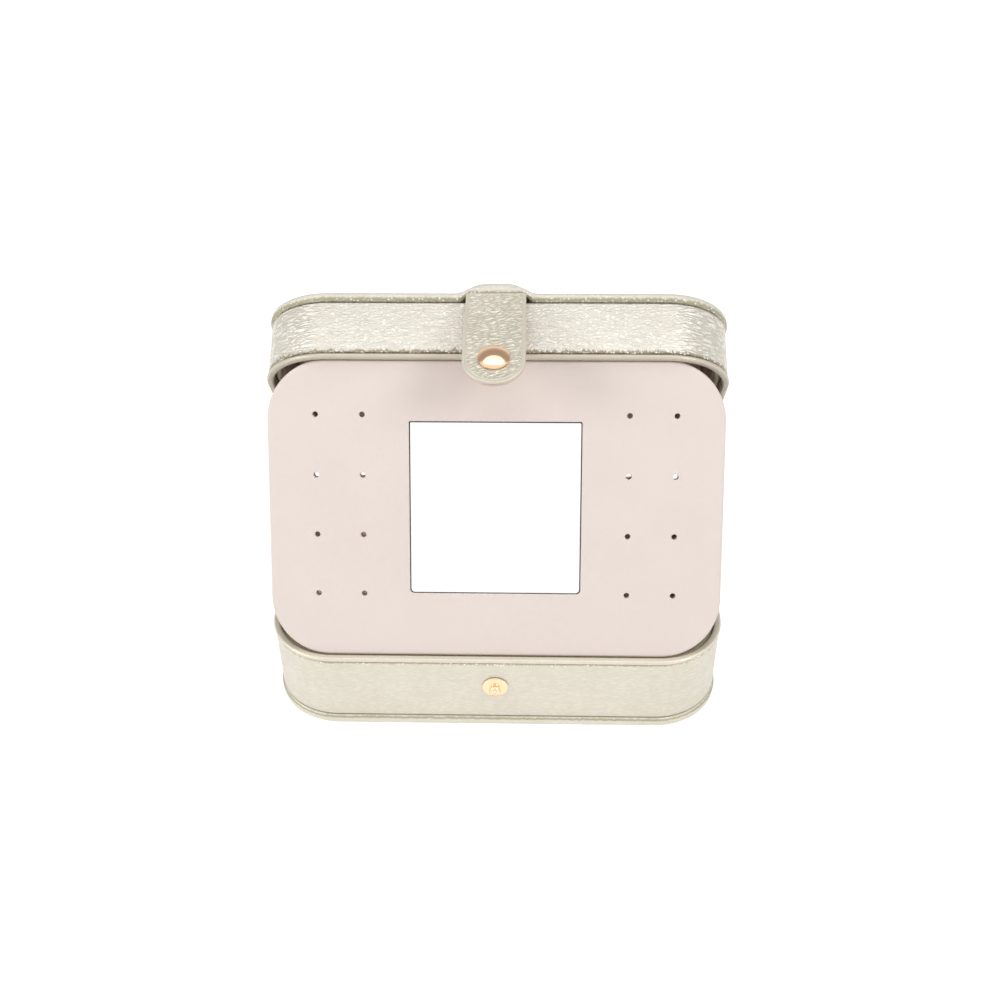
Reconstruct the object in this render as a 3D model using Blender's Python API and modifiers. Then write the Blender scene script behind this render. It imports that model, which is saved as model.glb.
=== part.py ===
"""Travel jewelry box: a clamshell case, open, with its earring and mirror panel propped inside.

Metres, +Z up. The front of the box faces -Y and the origin is the centre of its underside.
The lid is modelled closed and then opened about its hinge, the panel flat and then tilted.
Both angles come from the panel, which stands as a strut between the front corners of the halves.
"""
import math

import bmesh
import bpy
from mathutils import Matrix, Vector

# Case
BOX_WIDTH = 0.1650
BOX_DEPTH = 0.1110
CORNER_RADIUS = 0.0240
BASE_HEIGHT = 0.0330
LID_HEIGHT = 0.0250
WALL = 0.0022
BASE_PLATE = 0.0037
LID_PLATE = 0.0034
PLATE_LIP = 0.0007
BASE_PLATE_ROUND = 0.0015
LID_PLATE_ROUND = 0.0012
WALL_EDGE_ROUND = 0.0005
GAP = 0.0003
RIM_GAP = 0.0003
OVERRUN = 0.0010

# Leather binding rolled over each rim
BINDING_HEIGHT = 0.0017
BINDING_PROUD = 0.0004
BINDING_OUTER_ROUND = 0.0008
BINDING_INNER_ROUND = 0.0007

# Lining boards inside the walls
LINER = 0.0021
LEDGE_DROP = 0.0015
LID_LEDGE_DROP = 0.0030
FLOOR_PAD = 0.0015
FLOOR_PAD_ROUND = 0.0005
CEILING_PAD = 0.0014
CEILING_CROWN = 0.0008

# Arch that the lid's plate makes over the strap
ARCH_PLAY = 0.0003
ARCH_HUG = 0.0010
ARCH_SIDE_FALL = 0.0046
ARCH_BACK_FALL = 0.0120
ARCH_STATIONS = 7
ARCH_RINGS = 5

# Leather hinge strip on the back
STRIP_WIDTH = 0.0800
STRIP_LEATHER = 0.0011
STRIP_LEAF = 0.0130
STRIP_FOLD = 0.0018
STRIP_EDGE_ROUND = 0.0003
LID_FULL_OPEN = math.radians(100)

# Panel with mirror and earring holes
PANEL_PLAY = 0.0007
PANEL_BOARD = 0.0024
PANEL_BACKING = 0.0007
BACKING_INSET = 0.0024
WINDOW_WIDTH = 0.0602
WINDOW_HEIGHT = 0.0611
WINDOW_RISE = 0.0008
WINDOW_LOWER_ROUND = 0.0014
WINDOW_UPPER_ROUND = 0.0005
MIRROR_GLASS = 0.0012
MIRROR_SUNK = 0.0004
HOLE_RADIUS = 0.0010
HOLE_SIDE = 0.0169
HOLE_COLUMN_PITCH = 0.0163
HOLE_PITCH = 0.0212
HOLE_RISE = 0.0018
HOLE_ROWS = 4

# Compartments and ring rolls
DIVIDER = 0.0018
DIVIDER_TOP = 0.0280
DIVIDER_ROUND = 0.0006
MAIN_DIVIDER_X = -0.0160
CROSS_DIVIDER_Y = 0.0000
LAP_PLAY = 0.0003
ROLL_COUNT = 7
ROLL_TOP = 0.0272
ROLL_END = 0.0050
ROLL_POINTS = 14

# Strap
STRAP_ROOT_WIDTH = 0.0206
STRAP_TIP_WIDTH = 0.0210
STRAP_END = 0.0106
STRAP_TIP_ROUND = 0.0095
STRAP_LEATHER = 0.0012
STRAP_BACKING = 0.0010
STRAP_EDGE_ROUND = 0.0003
STRAP_TAIL = 0.0100
STRAP_BEND_RADIUS = 0.0040
STRAP_ROOT_ANGLE = math.radians(15)
STRAP_BENT_ANGLE = math.radians(66.5)
STRAP_TIP_ANGLE = math.radians(72)

# Snap fastener
SNAP_SLACK = 0.0012
SNAP_DROP = 0.0133
CAP_RADIUS = 0.0053
CAP_RISE = 0.0015
CAP_EDGE = 0.0004
SHANK_RADIUS = 0.0016
SHANK_PLAY = 0.0003
FLARE_RADIUS = 0.0023
FLARE = 0.0004
SOCKET_RADIUS = 0.0054
SOCKET_HEIGHT = 0.0028
SOCKET_WEB = 0.0006
SOCKET_GROOVE_RADIUS = 0.0031
SOCKET_MOUTH_RADIUS = 0.00245
SOCKET_MOUTH = 0.0005
SOCKET_ROUND = 0.0006
SPRING_WIRE = 0.00022
SPRING_RADIUS = 0.00225
SPRING_GAP_ANGLE = math.radians(36)
STUD_RADIUS = 0.0046
STUD_DISC = 0.0005
STUD_SHOULDER = 0.0011
STUD_NECK_RADIUS = 0.0018
STUD_HEAD_RADIUS = 0.0021
STUD_HEIGHT = 0.0030
STUD_BORE_RADIUS = 0.0013
STUD_CROWN = 0.0007
POST_RADIUS = 0.0010
POST_DISC_RADIUS = 0.0032
POST_DISC = 0.0006
POST_CUT_RADIUS = 0.0036
POST_CUT_DEPTH = 0.0010
POST_HOLE_RADIUS = 0.0014

# Faceting
CORNER_STEPS = 9
EDGE_STEPS = 3
TURN_STEPS = 28
DOME_STEPS = 5
MERGE = 0.000001

# Places that follow from the sizes
RIM_Z = BASE_HEIGHT + RIM_GAP
LID_TOP_Z = RIM_Z + LID_HEIGHT
LID_PLATE_Z = LID_TOP_Z - LID_PLATE
LINER_INSET = WALL + GAP
LINING_INSET = LINER_INSET + LINER + GAP
FLOOR_Z = BASE_PLATE + GAP
FLOOR_TOP_Z = FLOOR_Z + FLOOR_PAD + GAP
HINGE = Vector((0, BOX_DEPTH / 2 + BINDING_PROUD + GAP + STRIP_LEATHER / 2, BASE_HEIGHT + RIM_GAP / 2))
PANEL_WIDTH = BOX_WIDTH - 2 * (WALL + PANEL_PLAY)
PANEL_HEIGHT = BOX_DEPTH - 2 * (WALL + PANEL_PLAY)
PANEL_RADIUS = CORNER_RADIUS - WALL - PANEL_PLAY
PANEL_ROUND = PANEL_BOARD / 2
HOLE_OUTER_COLUMN = PANEL_WIDTH / 2 - HOLE_SIDE
HOLE_INNER_COLUMN = HOLE_OUTER_COLUMN - HOLE_COLUMN_PITCH
SEAT_FRONT = -BOX_DEPTH / 2 + WALL + PANEL_PLAY + PANEL_ROUND
SEAT_DEPTH = LEDGE_DROP - GAP - PANEL_ROUND
PANEL_FOOT = Vector((0, SEAT_FRONT, BASE_HEIGHT - SEAT_DEPTH))
LID_SEAT = Vector((0, SEAT_FRONT, RIM_Z + SEAT_DEPTH))
STRAP_THICKNESS = STRAP_LEATHER + GAP + STRAP_BACKING
ARCH_RISE = STRAP_THICKNESS + GAP + ARCH_PLAY
ARCH_FLAT = STRAP_ROOT_WIDTH / 2 - ARCH_HUG
STRAP_OUT = PLATE_LIP + GAP + STRAP_LEATHER + GAP / 2
STRAP_MID_Z = LID_PLATE_Z + STRAP_THICKNESS / 2
STRAP_AXIS = Vector((0, -BOX_DEPTH / 2 - STRAP_OUT, STRAP_MID_Z))
STUD_SEAT = Vector((0, -BOX_DEPTH / 2, BASE_HEIGHT - SNAP_DROP))
SNAP_REACH = STRAP_MID_Z - STUD_SEAT.z - SNAP_SLACK
STRAP_LENGTH = SNAP_REACH + STRAP_END

# Shares of a roll's end length and of its full section there
ROLL_END_SHARES = ((0.0, 0.62), (0.12, 0.80), (0.40, 0.94), (1.0, 1.0))

CHAMPAGNE = (0.80, 0.74, 0.62)
CHAMPAGNE_DEEP = (0.70, 0.64, 0.52)
BLUSH = (0.84, 0.74, 0.69)
TAUPE = (0.50, 0.40, 0.36)
ROSE_GOLD = (0.93, 0.66, 0.50)
SILVER = (0.90, 0.91, 0.92)
BOARD = (0.45, 0.40, 0.36)


def strut_angles():
    """Lid opening and panel tilt at which the panel just spans the two front seats."""
    to_foot = PANEL_FOOT - HINGE
    to_seat = LID_SEAT - HINGE
    span = PANEL_HEIGHT - PANEL_BOARD
    cosine = (to_foot.length_squared + to_seat.length_squared - span ** 2)
    cosine /= 2 * to_foot.length * to_seat.length
    opening = math.acos(cosine) - to_foot.angle(to_seat)
    seat = HINGE + Matrix.Rotation(-opening, 3, "X") @ to_seat
    lean = seat - PANEL_FOOT
    return opening, math.atan2(lean.z, lean.y)


def clear_scene():
    for item in list(bpy.data.objects):
        bpy.data.objects.remove(item)


def new_collection(name):
    collection = bpy.data.collections.new(name)
    bpy.context.scene.collection.children.link(collection)
    return collection


def paint(item, colour, metallic, roughness):
    """Give a piece a material of its own."""
    material = bpy.data.materials.new(item.name)
    material.use_nodes = True
    shader = material.node_tree.nodes["Principled BSDF"]
    shader.inputs["Base Color"].default_value = (*colour, 1)
    shader.inputs["Metallic"].default_value = metallic
    shader.inputs["Roughness"].default_value = roughness
    item.data.materials.append(material)


def new_axis(name, place, turn, parent=None):
    """An empty on a joint's axis; what moves with the joint hangs on it."""
    axis = bpy.data.objects.new(name, None)
    PARTS.objects.link(axis)
    axis.location = place if parent is None else place - parent_origin(parent)
    axis.rotation_euler.x = turn
    axis.parent = parent
    axis["modelled_at"] = place
    return axis


def parent_origin(parent):
    """Where an axis stands in the frame in which its pieces are modelled."""
    return Vector(parent["modelled_at"]) if parent else Vector((0, 0, 0))


def new_piece(name, bm, look, parent=None, place=None, turn=0):
    """Finish a mesh as a named piece. A place is given in the frame that the pieces are modelled in."""
    mesh = bpy.data.meshes.new(name)
    bm.to_mesh(mesh)
    bm.free()
    piece = bpy.data.objects.new(name, mesh)
    PARTS.objects.link(piece)
    piece.parent = parent
    piece.location = (place or Vector((0, 0, 0))) - parent_origin(parent)
    piece.rotation_euler.x = turn
    mesh.shade_smooth()
    mesh.set_sharp_from_angle(angle=math.radians(35))
    paint(piece, *look)
    return piece


def rounded_outline(width, depth, radius, back_radius=None, stations=()):
    """Points round a rectangle with rounded corners. Stations are extra x places on its front run."""
    back = radius if back_radius is None else back_radius
    corners = ((1, -1, radius), (1, 1, back), (-1, 1, back), (-1, -1, radius))
    points = []
    for index, (side, face, bend) in enumerate(corners):
        centre = Vector((side * (width / 2 - bend), face * (depth / 2 - bend)))
        for step in range(CORNER_STEPS + 1):
            angle = math.pi / 2 * (index - 1 + step / CORNER_STEPS)
            points.append(centre + bend * Vector((math.cos(angle), math.sin(angle))))
    points.extend(Vector((x, -depth / 2)) for x in stations)
    return points


def case_loop(inset, z, stations=()):
    """The case's plan drawn in by an inset, at a height."""
    outline = rounded_outline(
        BOX_WIDTH - 2 * inset, BOX_DEPTH - 2 * inset, CORNER_RADIUS - inset, stations=stations)
    return [Vector((x, y, z)) for x, y in outline]


def filleted(corners):
    """Points of a closed profile whose corners, each (across, up, radius), are rounded off."""
    points = []
    for index, (across, up, radius) in enumerate(corners):
        corner = Vector((across, up))
        to_last = (Vector(corners[index - 1][:2]) - corner).normalized()
        to_next = (Vector(corners[(index + 1) % len(corners)][:2]) - corner).normalized()
        if radius == 0:
            points.append(corner)
            continue
        half_angle = to_last.angle(to_next) / 2
        centre = corner + (to_last + to_next).normalized() * radius / math.sin(half_angle)
        spoke = corner + to_last * radius / math.tan(half_angle) - centre
        turn = math.copysign(math.pi - 2 * half_angle, to_next.cross(to_last))
        for step in range(EDGE_STEPS + 1):
            points.append(centre + Matrix.Rotation(turn * step / EDGE_STEPS, 2) @ spoke)
    return points


def loft(loops, ring=False):
    """A skin extruded from loop to loop of points: capped at its ends, or welded end to end as a ring."""
    bm = bmesh.new()
    verts = [bm.verts.new(point) for point in loops[0]]
    first = [bm.edges.new(pair) for pair in zip(verts, verts[1:] + verts[:1])]
    edges = first
    for loop in loops[1:] + loops[:1] if ring else loops[1:]:
        geometry = bmesh.ops.extrude_edge_only(bm, edges=edges)["geom"]
        verts = [item for item in geometry if isinstance(item, bmesh.types.BMVert)]
        edges = [item for item in geometry if isinstance(item, bmesh.types.BMEdge)]
        for vert, point in zip(verts, loop):
            vert.co = point
    if ring:
        bmesh.ops.remove_doubles(bm, verts=bm.verts, dist=MERGE)
    else:
        bmesh.ops.edgeloop_fill(bm, edges=first)
        bmesh.ops.edgeloop_fill(bm, edges=edges)
    bmesh.ops.recalc_face_normals(bm, faces=bm.faces)
    return bm


def box(low, high, rounding=0):
    """A block between two corners, its edges rounded."""
    bm = bmesh.new()
    size = Vector(high) - Vector(low)
    centre = (Vector(high) + Vector(low)) / 2
    bmesh.ops.create_cube(bm, size=1, matrix=Matrix.Translation(centre) @ Matrix.Diagonal((*size, 1)))
    if rounding:
        bmesh.ops.bevel(
            bm, geom=bm.edges[:], offset=rounding, segments=EDGE_STEPS, profile=0.5, affect="EDGES")
    return bm


def turned(name, profile, look, parent=None, place=None, turn=0, ring=False):
    """A turned piece. Its profile of (radius, height) runs down the outer side, top to bottom."""
    bm = bmesh.new()
    verts = [bm.verts.new((radius, 0, height)) for radius, height in profile]
    for pair in zip(verts, verts[1:] + verts[:1] if ring else verts[1:]):
        bm.edges.new(pair)
    piece = new_piece(name, bm, look, parent, place, turn)
    screw = piece.modifiers.new("turn", "SCREW")
    screw.steps = TURN_STEPS
    screw.render_steps = TURN_STEPS
    screw.use_merge_vertices = True
    screw.merge_threshold = MERGE
    return piece


def cut(piece, bm, name, place=None, turn=0):
    """Cut a shape out of a piece; the cutter hangs on the same axis as the piece."""
    cutter = new_piece(name, bm, (BOARD, 0, 1), piece.parent, place, turn)
    PARTS.objects.unlink(cutter)
    CUTTERS.objects.link(cutter)
    cutter.hide_render = True
    cutter.display_type = "WIRE"
    share_cut(piece, cutter)
    return cutter


def share_cut(piece, cutter):
    boolean = piece.modifiers.new(cutter.name, "BOOLEAN")
    boolean.operation = "DIFFERENCE"
    boolean.solver = "EXACT"
    boolean.object = cutter


def rod(radius, low, high, across=(0, 0), steps=TURN_STEPS, bm=None):
    """An upright cylinder, added to a mesh if one is given."""
    bm = bm or bmesh.new()
    middle = Matrix.Translation((*across, (low + high) / 2))
    bmesh.ops.create_cone(
        bm, cap_ends=True, segments=steps, radius1=radius, radius2=radius, depth=high - low, matrix=middle)
    return bm


def plate_rings(low, high, edge, inner):
    """Profile of a plate that stands proud of the wall by its lip, from its inner rings out and back."""
    corners = ((inner[0], low, 0), (-PLATE_LIP, low, edge), (-PLATE_LIP, high, edge), (inner[0], high, 0))
    profile = filleted(corners)[1:-1]
    lower = [Vector((inset, low)) for inset in reversed(inner)]
    upper = [Vector((inset, high)) for inset in inner]
    return lower + profile + upper


def wall_ring(low, high):
    """Wall band between two heights."""
    edge = WALL_EDGE_ROUND
    profile = filleted(((0, low, edge), (0, high, edge), (WALL, high, 0), (WALL, low, 0)))
    return loft([case_loop(inset, z) for inset, z in profile], ring=True)


def binding_ring(rim, foot):
    """Rolled binding, full at the rim and creased against the wall at its foot."""
    profile = filleted((
        (-BINDING_PROUD, foot, BINDING_OUTER_ROUND),
        (-BINDING_PROUD, rim, BINDING_OUTER_ROUND),
        (WALL, rim, BINDING_INNER_ROUND),
        (WALL, foot, 0)))
    return loft([case_loop(inset, z) for inset, z in profile], ring=True)


def liner_ring(ledge, foot):
    """Lining board: its edge at the ledge is padded round, where the panel sits."""
    outer = LINER_INSET
    inner = LINER_INSET + LINER
    profile = filleted(((outer, foot, 0), (outer, ledge, LINER / 2), (inner, ledge, LINER / 2), (inner, foot, 0)))
    return loft([case_loop(inset, z) for inset, z in profile], ring=True)


def smooth_fall(distance, flat, fall):
    """One up to a flat distance, then a smooth fall to nothing."""
    share = min(max((distance - flat) / fall, 0), 1)
    return 1 - share * share * (3 - 2 * share)


def arch_lift(point):
    """How far the lid's plate is lifted there by the strap under it."""
    across = smooth_fall(abs(point.x), ARCH_FLAT, ARCH_SIDE_FALL)
    inward = smooth_fall(point.y + BOX_DEPTH / 2, STRAP_TAIL + GAP, ARCH_BACK_FALL)
    return ARCH_RISE * across * inward


def make_base_shell():
    inner = [2 * BASE_PLATE_ROUND]
    rings = plate_rings(0, BASE_PLATE, BASE_PLATE_ROUND, inner)
    new_piece("base_plate", loft([case_loop(*ring) for ring in rings]), (CHAMPAGNE, 0.6, 0.45))
    wall_top = BASE_HEIGHT - BINDING_HEIGHT - GAP
    wall = new_piece("base_wall", wall_ring(FLOOR_Z, wall_top), (CHAMPAGNE, 0.6, 0.45))
    through = rod(POST_HOLE_RADIUS, -WALL - OVERRUN, OVERRUN)
    cut(wall, through, "post_hole_cutter", STUD_SEAT, math.pi / 2)
    pocket = rod(POST_CUT_RADIUS, -WALL - OVERRUN, POST_CUT_DEPTH - WALL)
    cut(wall, pocket, "post_pocket_cutter", STUD_SEAT, math.pi / 2)
    binding = binding_ring(BASE_HEIGHT, BASE_HEIGHT - BINDING_HEIGHT)
    new_piece("base_rim_binding", binding, (CHAMPAGNE, 0.6, 0.4))


def make_base_lining():
    new_piece("base_liner", liner_ring(BASE_HEIGHT - LEDGE_DROP, FLOOR_Z), (TAUPE, 0, 0.9))
    edge = FLOOR_PAD_ROUND
    top = FLOOR_Z + FLOOR_PAD
    middle = LINING_INSET + 2 * edge
    profile = filleted(((middle, FLOOR_Z, 0), (LINING_INSET, FLOOR_Z, 0), (LINING_INSET, top, edge), (middle, top, 0)))
    new_piece("base_floor_pad", loft([case_loop(*ring) for ring in profile]), (TAUPE, 0, 0.9))


def make_lid_shell(axis):
    fall = STRAP_TAIL + GAP + ARCH_BACK_FALL
    first = 2 * LID_PLATE_ROUND
    inner = [first + (fall - first) * step / (ARCH_RINGS - 1) for step in range(ARCH_RINGS)]
    slope = [ARCH_FLAT + ARCH_SIDE_FALL * step / ARCH_STATIONS for step in range(ARCH_STATIONS + 1)]
    stations = [-x for x in reversed(slope)] + slope
    loops = []
    for inset, z in plate_rings(LID_PLATE_Z, LID_TOP_Z, LID_PLATE_ROUND, inner):
        loop = case_loop(inset, z, stations)
        for point in loop:
            point.z += arch_lift(point)
        loops.append(loop)
    new_piece("lid_plate", loft(loops), (CHAMPAGNE, 0.6, 0.45), axis)
    wall = wall_ring(RIM_Z + BINDING_HEIGHT + GAP, LID_PLATE_Z - GAP)
    new_piece("lid_wall", wall, (CHAMPAGNE, 0.6, 0.45), axis)
    binding = binding_ring(RIM_Z, RIM_Z + BINDING_HEIGHT)
    new_piece("lid_rim_binding", binding, (CHAMPAGNE, 0.6, 0.4), axis)


def make_lid_lining(axis):
    foot = LID_PLATE_Z - GAP
    new_piece("lid_liner", liner_ring(RIM_Z + LID_LEDGE_DROP, foot), (TAUPE, 0, 0.9), axis)
    half_depth = BOX_DEPTH / 2 - LINING_INSET
    loops = [case_loop(LINING_INSET, foot)]
    for step in range(DOME_STEPS):
        inset = half_depth * step / (DOME_STEPS + 1)
        crown = CEILING_CROWN * math.sin(math.pi / 2 * step / (DOME_STEPS - 1))
        loops.append(pad_loop(LINING_INSET + inset, foot - CEILING_PAD - crown))
    new_piece("lid_ceiling_pad", loft(loops), (TAUPE, 0, 0.9), axis)


def pad_loop(inset, z):
    """The case's plan drawn in for a pad, with corners that stay open as it narrows."""
    radius = max(CORNER_RADIUS - inset, LINER)
    outline = rounded_outline(BOX_WIDTH - 2 * inset, BOX_DEPTH - 2 * inset, radius)
    return [Vector((x, y, z)) for x, y in outline]


def make_hinge_leaf(name, z_sign, parent):
    """One glued leaf of the hinge strip, stepped out over the binding."""
    wall_face = BOX_DEPTH / 2 + GAP
    bead_face = wall_face + BINDING_PROUD
    near = HINGE.z + z_sign * STRIP_FOLD / 2
    bead = HINGE.z + z_sign * (RIM_GAP / 2 + BINDING_HEIGHT)
    bead_foot = bead + z_sign * BINDING_PROUD
    far = near + z_sign * STRIP_LEAF
    edge = STRIP_EDGE_ROUND
    profile = filleted((
        (bead_face, near, edge),
        (bead_face, bead, 0),
        (wall_face, bead_foot, 0),
        (wall_face, far, edge),
        (wall_face + STRIP_LEATHER, far, edge),
        (wall_face + STRIP_LEATHER, bead_foot, 0),
        (bead_face + STRIP_LEATHER, bead, 0),
        (bead_face + STRIP_LEATHER, near, edge)))
    ends = [[Vector((side * STRIP_WIDTH / 2, y, z)) for y, z in profile] for side in (-1, 1)]
    new_piece(name, loft(ends), (CHAMPAGNE_DEEP, 0.6, 0.45), parent)


def window_outline(play):
    """The mirror's window in the panel, drawn in by a play. Its lower corners are the rounder ones."""
    return rounded_outline(
        WINDOW_WIDTH - 2 * play, WINDOW_HEIGHT - 2 * play, WINDOW_LOWER_ROUND, WINDOW_UPPER_ROUND)


def window_solid(play, low, high):
    middle = PANEL_HEIGHT / 2 - PANEL_ROUND + WINDOW_RISE
    outline = window_outline(play)
    return loft([[Vector((x, y + middle, z)) for x, y in outline] for z in (low, high)])


def hole_rods(low, high):
    """Rods for the four columns of earring holes, on either side of the mirror."""
    middle = PANEL_HEIGHT / 2 - PANEL_ROUND + HOLE_RISE
    bm = bmesh.new()
    for column in (-HOLE_OUTER_COLUMN, -HOLE_INNER_COLUMN, HOLE_INNER_COLUMN, HOLE_OUTER_COLUMN):
        for row in range(HOLE_ROWS):
            rise = middle + HOLE_PITCH * (row - (HOLE_ROWS - 1) / 2)
            rod(HOLE_RADIUS, low, high, (column, rise), TURN_STEPS // 2, bm)
    return bm


def panel_loop(inset, z):
    """The panel's outline drawn in by an inset; the centre of its rounded foot is at zero."""
    outline = rounded_outline(PANEL_WIDTH - 2 * inset, PANEL_HEIGHT - 2 * inset, PANEL_RADIUS - inset)
    middle = PANEL_HEIGHT / 2 - PANEL_ROUND
    return [Vector((x, y + middle, z)) for x, y in outline]


def make_panel(axis):
    """Pieces of the panel, in its own frame: +Y up the panel and +Z out of its face."""
    steps = 2 * EDGE_STEPS
    loops = []
    for step in range(steps + 1):
        angle = math.pi * (step / steps - 1 / 2)
        loops.append(panel_loop(PANEL_ROUND * (1 - math.cos(angle)), PANEL_ROUND * math.sin(angle)))
    board = new_piece("panel_board", loft(loops), (BLUSH, 0, 0.55), axis, PANEL_FOOT)
    window = window_solid(0, -PANEL_ROUND - OVERRUN, PANEL_ROUND + OVERRUN)
    cut(board, window, "window_cutter", PANEL_FOOT)
    backing_front = -PANEL_ROUND - GAP
    backing_back = backing_front - PANEL_BACKING
    holes = hole_rods(backing_back - OVERRUN, PANEL_ROUND + OVERRUN)
    drill = cut(board, holes, "earring_hole_cutter", PANEL_FOOT)
    backing_loops = [panel_loop(BACKING_INSET, z) for z in (backing_back, backing_front)]
    backing = new_piece("panel_backing", loft(backing_loops), (TAUPE, 0, 0.9), axis, PANEL_FOOT)
    share_cut(backing, drill)
    glass_front = PANEL_ROUND - MIRROR_SUNK
    glass_back = glass_front - MIRROR_GLASS
    glass = window_solid(GAP, glass_back, glass_front)
    new_piece("mirror_glass", glass, (SILVER, 1, 0.02), axis, PANEL_FOOT)
    pad = window_solid(GAP, backing_front + GAP, glass_back - GAP)
    new_piece("mirror_pad", pad, (BOARD, 0, 0.9), axis, PANEL_FOOT)


def make_dividers():
    """Wrapped boards: one beside the ring rolls, and two that cross with half laps."""
    half_depth = BOX_DEPTH / 2 - LINING_INSET
    half_width = BOX_WIDTH / 2 - LINING_INSET
    half = DIVIDER / 2
    low = FLOOR_TOP_Z
    bay_left = MAIN_DIVIDER_X + half + GAP
    short_x = (bay_left + half_width) / 2
    main = box((MAIN_DIVIDER_X - half, -half_depth, low), (MAIN_DIVIDER_X + half, half_depth, DIVIDER_TOP), DIVIDER_ROUND)
    new_piece("divider_main", main, (TAUPE, 0, 0.9))
    cross = box(
        (bay_left, CROSS_DIVIDER_Y - half, low), (half_width, CROSS_DIVIDER_Y + half, DIVIDER_TOP), DIVIDER_ROUND)
    short = box((short_x - half, -half_depth, low), (short_x + half, half_depth, DIVIDER_TOP), DIVIDER_ROUND)
    cross_piece = new_piece("divider_cross", cross, (TAUPE, 0, 0.9))
    short_piece = new_piece("divider_short", short, (TAUPE, 0, 0.9))
    lap = (low + DIVIDER_TOP) / 2
    reach = half + LAP_PLAY
    high = DIVIDER_TOP + OVERRUN
    slot = box((short_x - reach, CROSS_DIVIDER_Y - reach, lap), (short_x + reach, CROSS_DIVIDER_Y + reach, high))
    cut(cross_piece, slot, "upper_slot_cutter")
    bottom = low - OVERRUN
    notch = lap + LAP_PLAY
    slot = box((short_x - reach, CROSS_DIVIDER_Y - reach, bottom), (short_x + reach, CROSS_DIVIDER_Y + reach, notch))
    cut(short_piece, slot, "lower_slot_cutter")


def roll_section(x, y, half_width, height):
    """A roll's section: square-set on the floor and round over its crown."""
    points = []
    for index in range(ROLL_POINTS):
        angle = 2 * math.pi * (index + 1 / 2) / ROLL_POINTS
        across = math.cos(angle)
        up = math.sin(angle)
        power = 1.0 if up > 0 else 0.4
        flat_across = math.copysign(abs(across) ** power, across)
        flat_up = math.copysign(abs(up) ** power, up)
        points.append((y + half_width * flat_across, flat_up))
    low = min(up for _, up in points)
    high = max(up for _, up in points)
    return [Vector((x, y, FLOOR_TOP_Z + height * (up - low) / (high - low))) for y, up in points]


def roll_left_end(edge):
    """Where the lining's rounded corner leaves room for a roll whose far side is at this depth."""
    radius = CORNER_RADIUS - LINING_INSET
    into_corner = max(edge - (BOX_DEPTH / 2 - CORNER_RADIUS), 0)
    drawn_in = radius - math.sqrt(radius ** 2 - min(into_corner, radius) ** 2)
    return -BOX_WIDTH / 2 + LINING_INSET + drawn_in


def make_ring_rolls():
    half_depth = BOX_DEPTH / 2 - LINING_INSET
    pitch = 2 * half_depth / ROLL_COUNT
    half_width = pitch / 2 - GAP / 2
    height = ROLL_TOP - FLOOR_TOP_Z
    right = MAIN_DIVIDER_X - DIVIDER / 2 - GAP
    for index in range(ROLL_COUNT):
        y = -half_depth + pitch * (index + 1 / 2)
        left = roll_left_end(abs(y) + half_width)
        sections = []
        for share, size in ROLL_END_SHARES:
            sections.append(roll_section(left + ROLL_END * share, y, half_width * size, height * size))
        for share, size in reversed(ROLL_END_SHARES):
            sections.append(roll_section(right - ROLL_END * share, y, half_width * size, height * size))
        new_piece(f"ring_roll_{index + 1}", loft(sections), (BLUSH, 0, 0.95))


def strap_frame(reach):
    """Place (out, down) and heading below level of the strap's middle line, a reach from its root."""
    bend = STRAP_BENT_ANGLE - STRAP_ROOT_ANGLE
    bend_length = STRAP_BEND_RADIUS * bend
    set_radius = (STRAP_LENGTH - bend_length) / (STRAP_TIP_ANGLE - STRAP_BENT_ANGLE)
    first = STRAP_ROOT_ANGLE + min(reach, bend_length) / STRAP_BEND_RADIUS
    out = STRAP_BEND_RADIUS * (math.sin(first) - math.sin(STRAP_ROOT_ANGLE))
    down = STRAP_BEND_RADIUS * (math.cos(STRAP_ROOT_ANGLE) - math.cos(first))
    heading = first + max(reach - bend_length, 0) / set_radius
    out += set_radius * (math.sin(heading) - math.sin(first))
    down += set_radius * (math.cos(first) - math.cos(heading))
    return out, down, heading


def strap_point(x, reach, height):
    """A point on the bent strap: across, along and above its middle line."""
    out, down, heading = strap_frame(reach)
    rise = height * math.cos(heading) - down
    return Vector((x, -out - height * math.sin(heading), rise))


def strap_half_width(reach):
    straight = STRAP_LENGTH - STRAP_TIP_ROUND
    width = STRAP_ROOT_WIDTH + (STRAP_TIP_WIDTH - STRAP_ROOT_WIDTH) * min(reach / straight, 1)
    into_tip = max(reach - straight, 0) / STRAP_TIP_ROUND
    return width / 2 * math.sqrt(1 - into_tip ** 2)


def strap_section(reach, near, far):
    """Section of one layer of the strap, between two heights off its middle line."""
    side = strap_half_width(reach)
    low, high = sorted((near, far))
    edge = min(STRAP_EDGE_ROUND, (high - low) / EDGE_STEPS)
    section = filleted(((-side, low, edge), (side, low, edge), (side, high, edge), (-side, high, edge)))
    return [strap_point(x, reach, height) for x, height in section]


def strap_layer(near, far):
    """One layer of the strap. Its root is round about the strap's axis, so that it can turn there."""
    straight = STRAP_LENGTH - STRAP_TIP_ROUND
    bend_length = STRAP_BEND_RADIUS * (STRAP_BENT_ANGLE - STRAP_ROOT_ANGLE)
    loops = []
    for step in range(EDGE_STEPS, 0, -1):
        angle = math.pi / 2 * step / (EDGE_STEPS + 1)
        loops.append(strap_section(-abs(far) * math.sin(angle), near, far * math.cos(angle)))
    reaches = [bend_length * step / EDGE_STEPS for step in range(EDGE_STEPS)]
    reaches += [bend_length + (straight - bend_length) * step / CORNER_STEPS for step in range(CORNER_STEPS)]
    tip_steps = range(CORNER_STEPS - 1)
    reaches += [straight + STRAP_TIP_ROUND * math.sin(math.pi / 2 * step / CORNER_STEPS) for step in tip_steps]
    loops += [strap_section(reach, near, far) for reach in reaches]
    return loft(loops)


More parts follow.
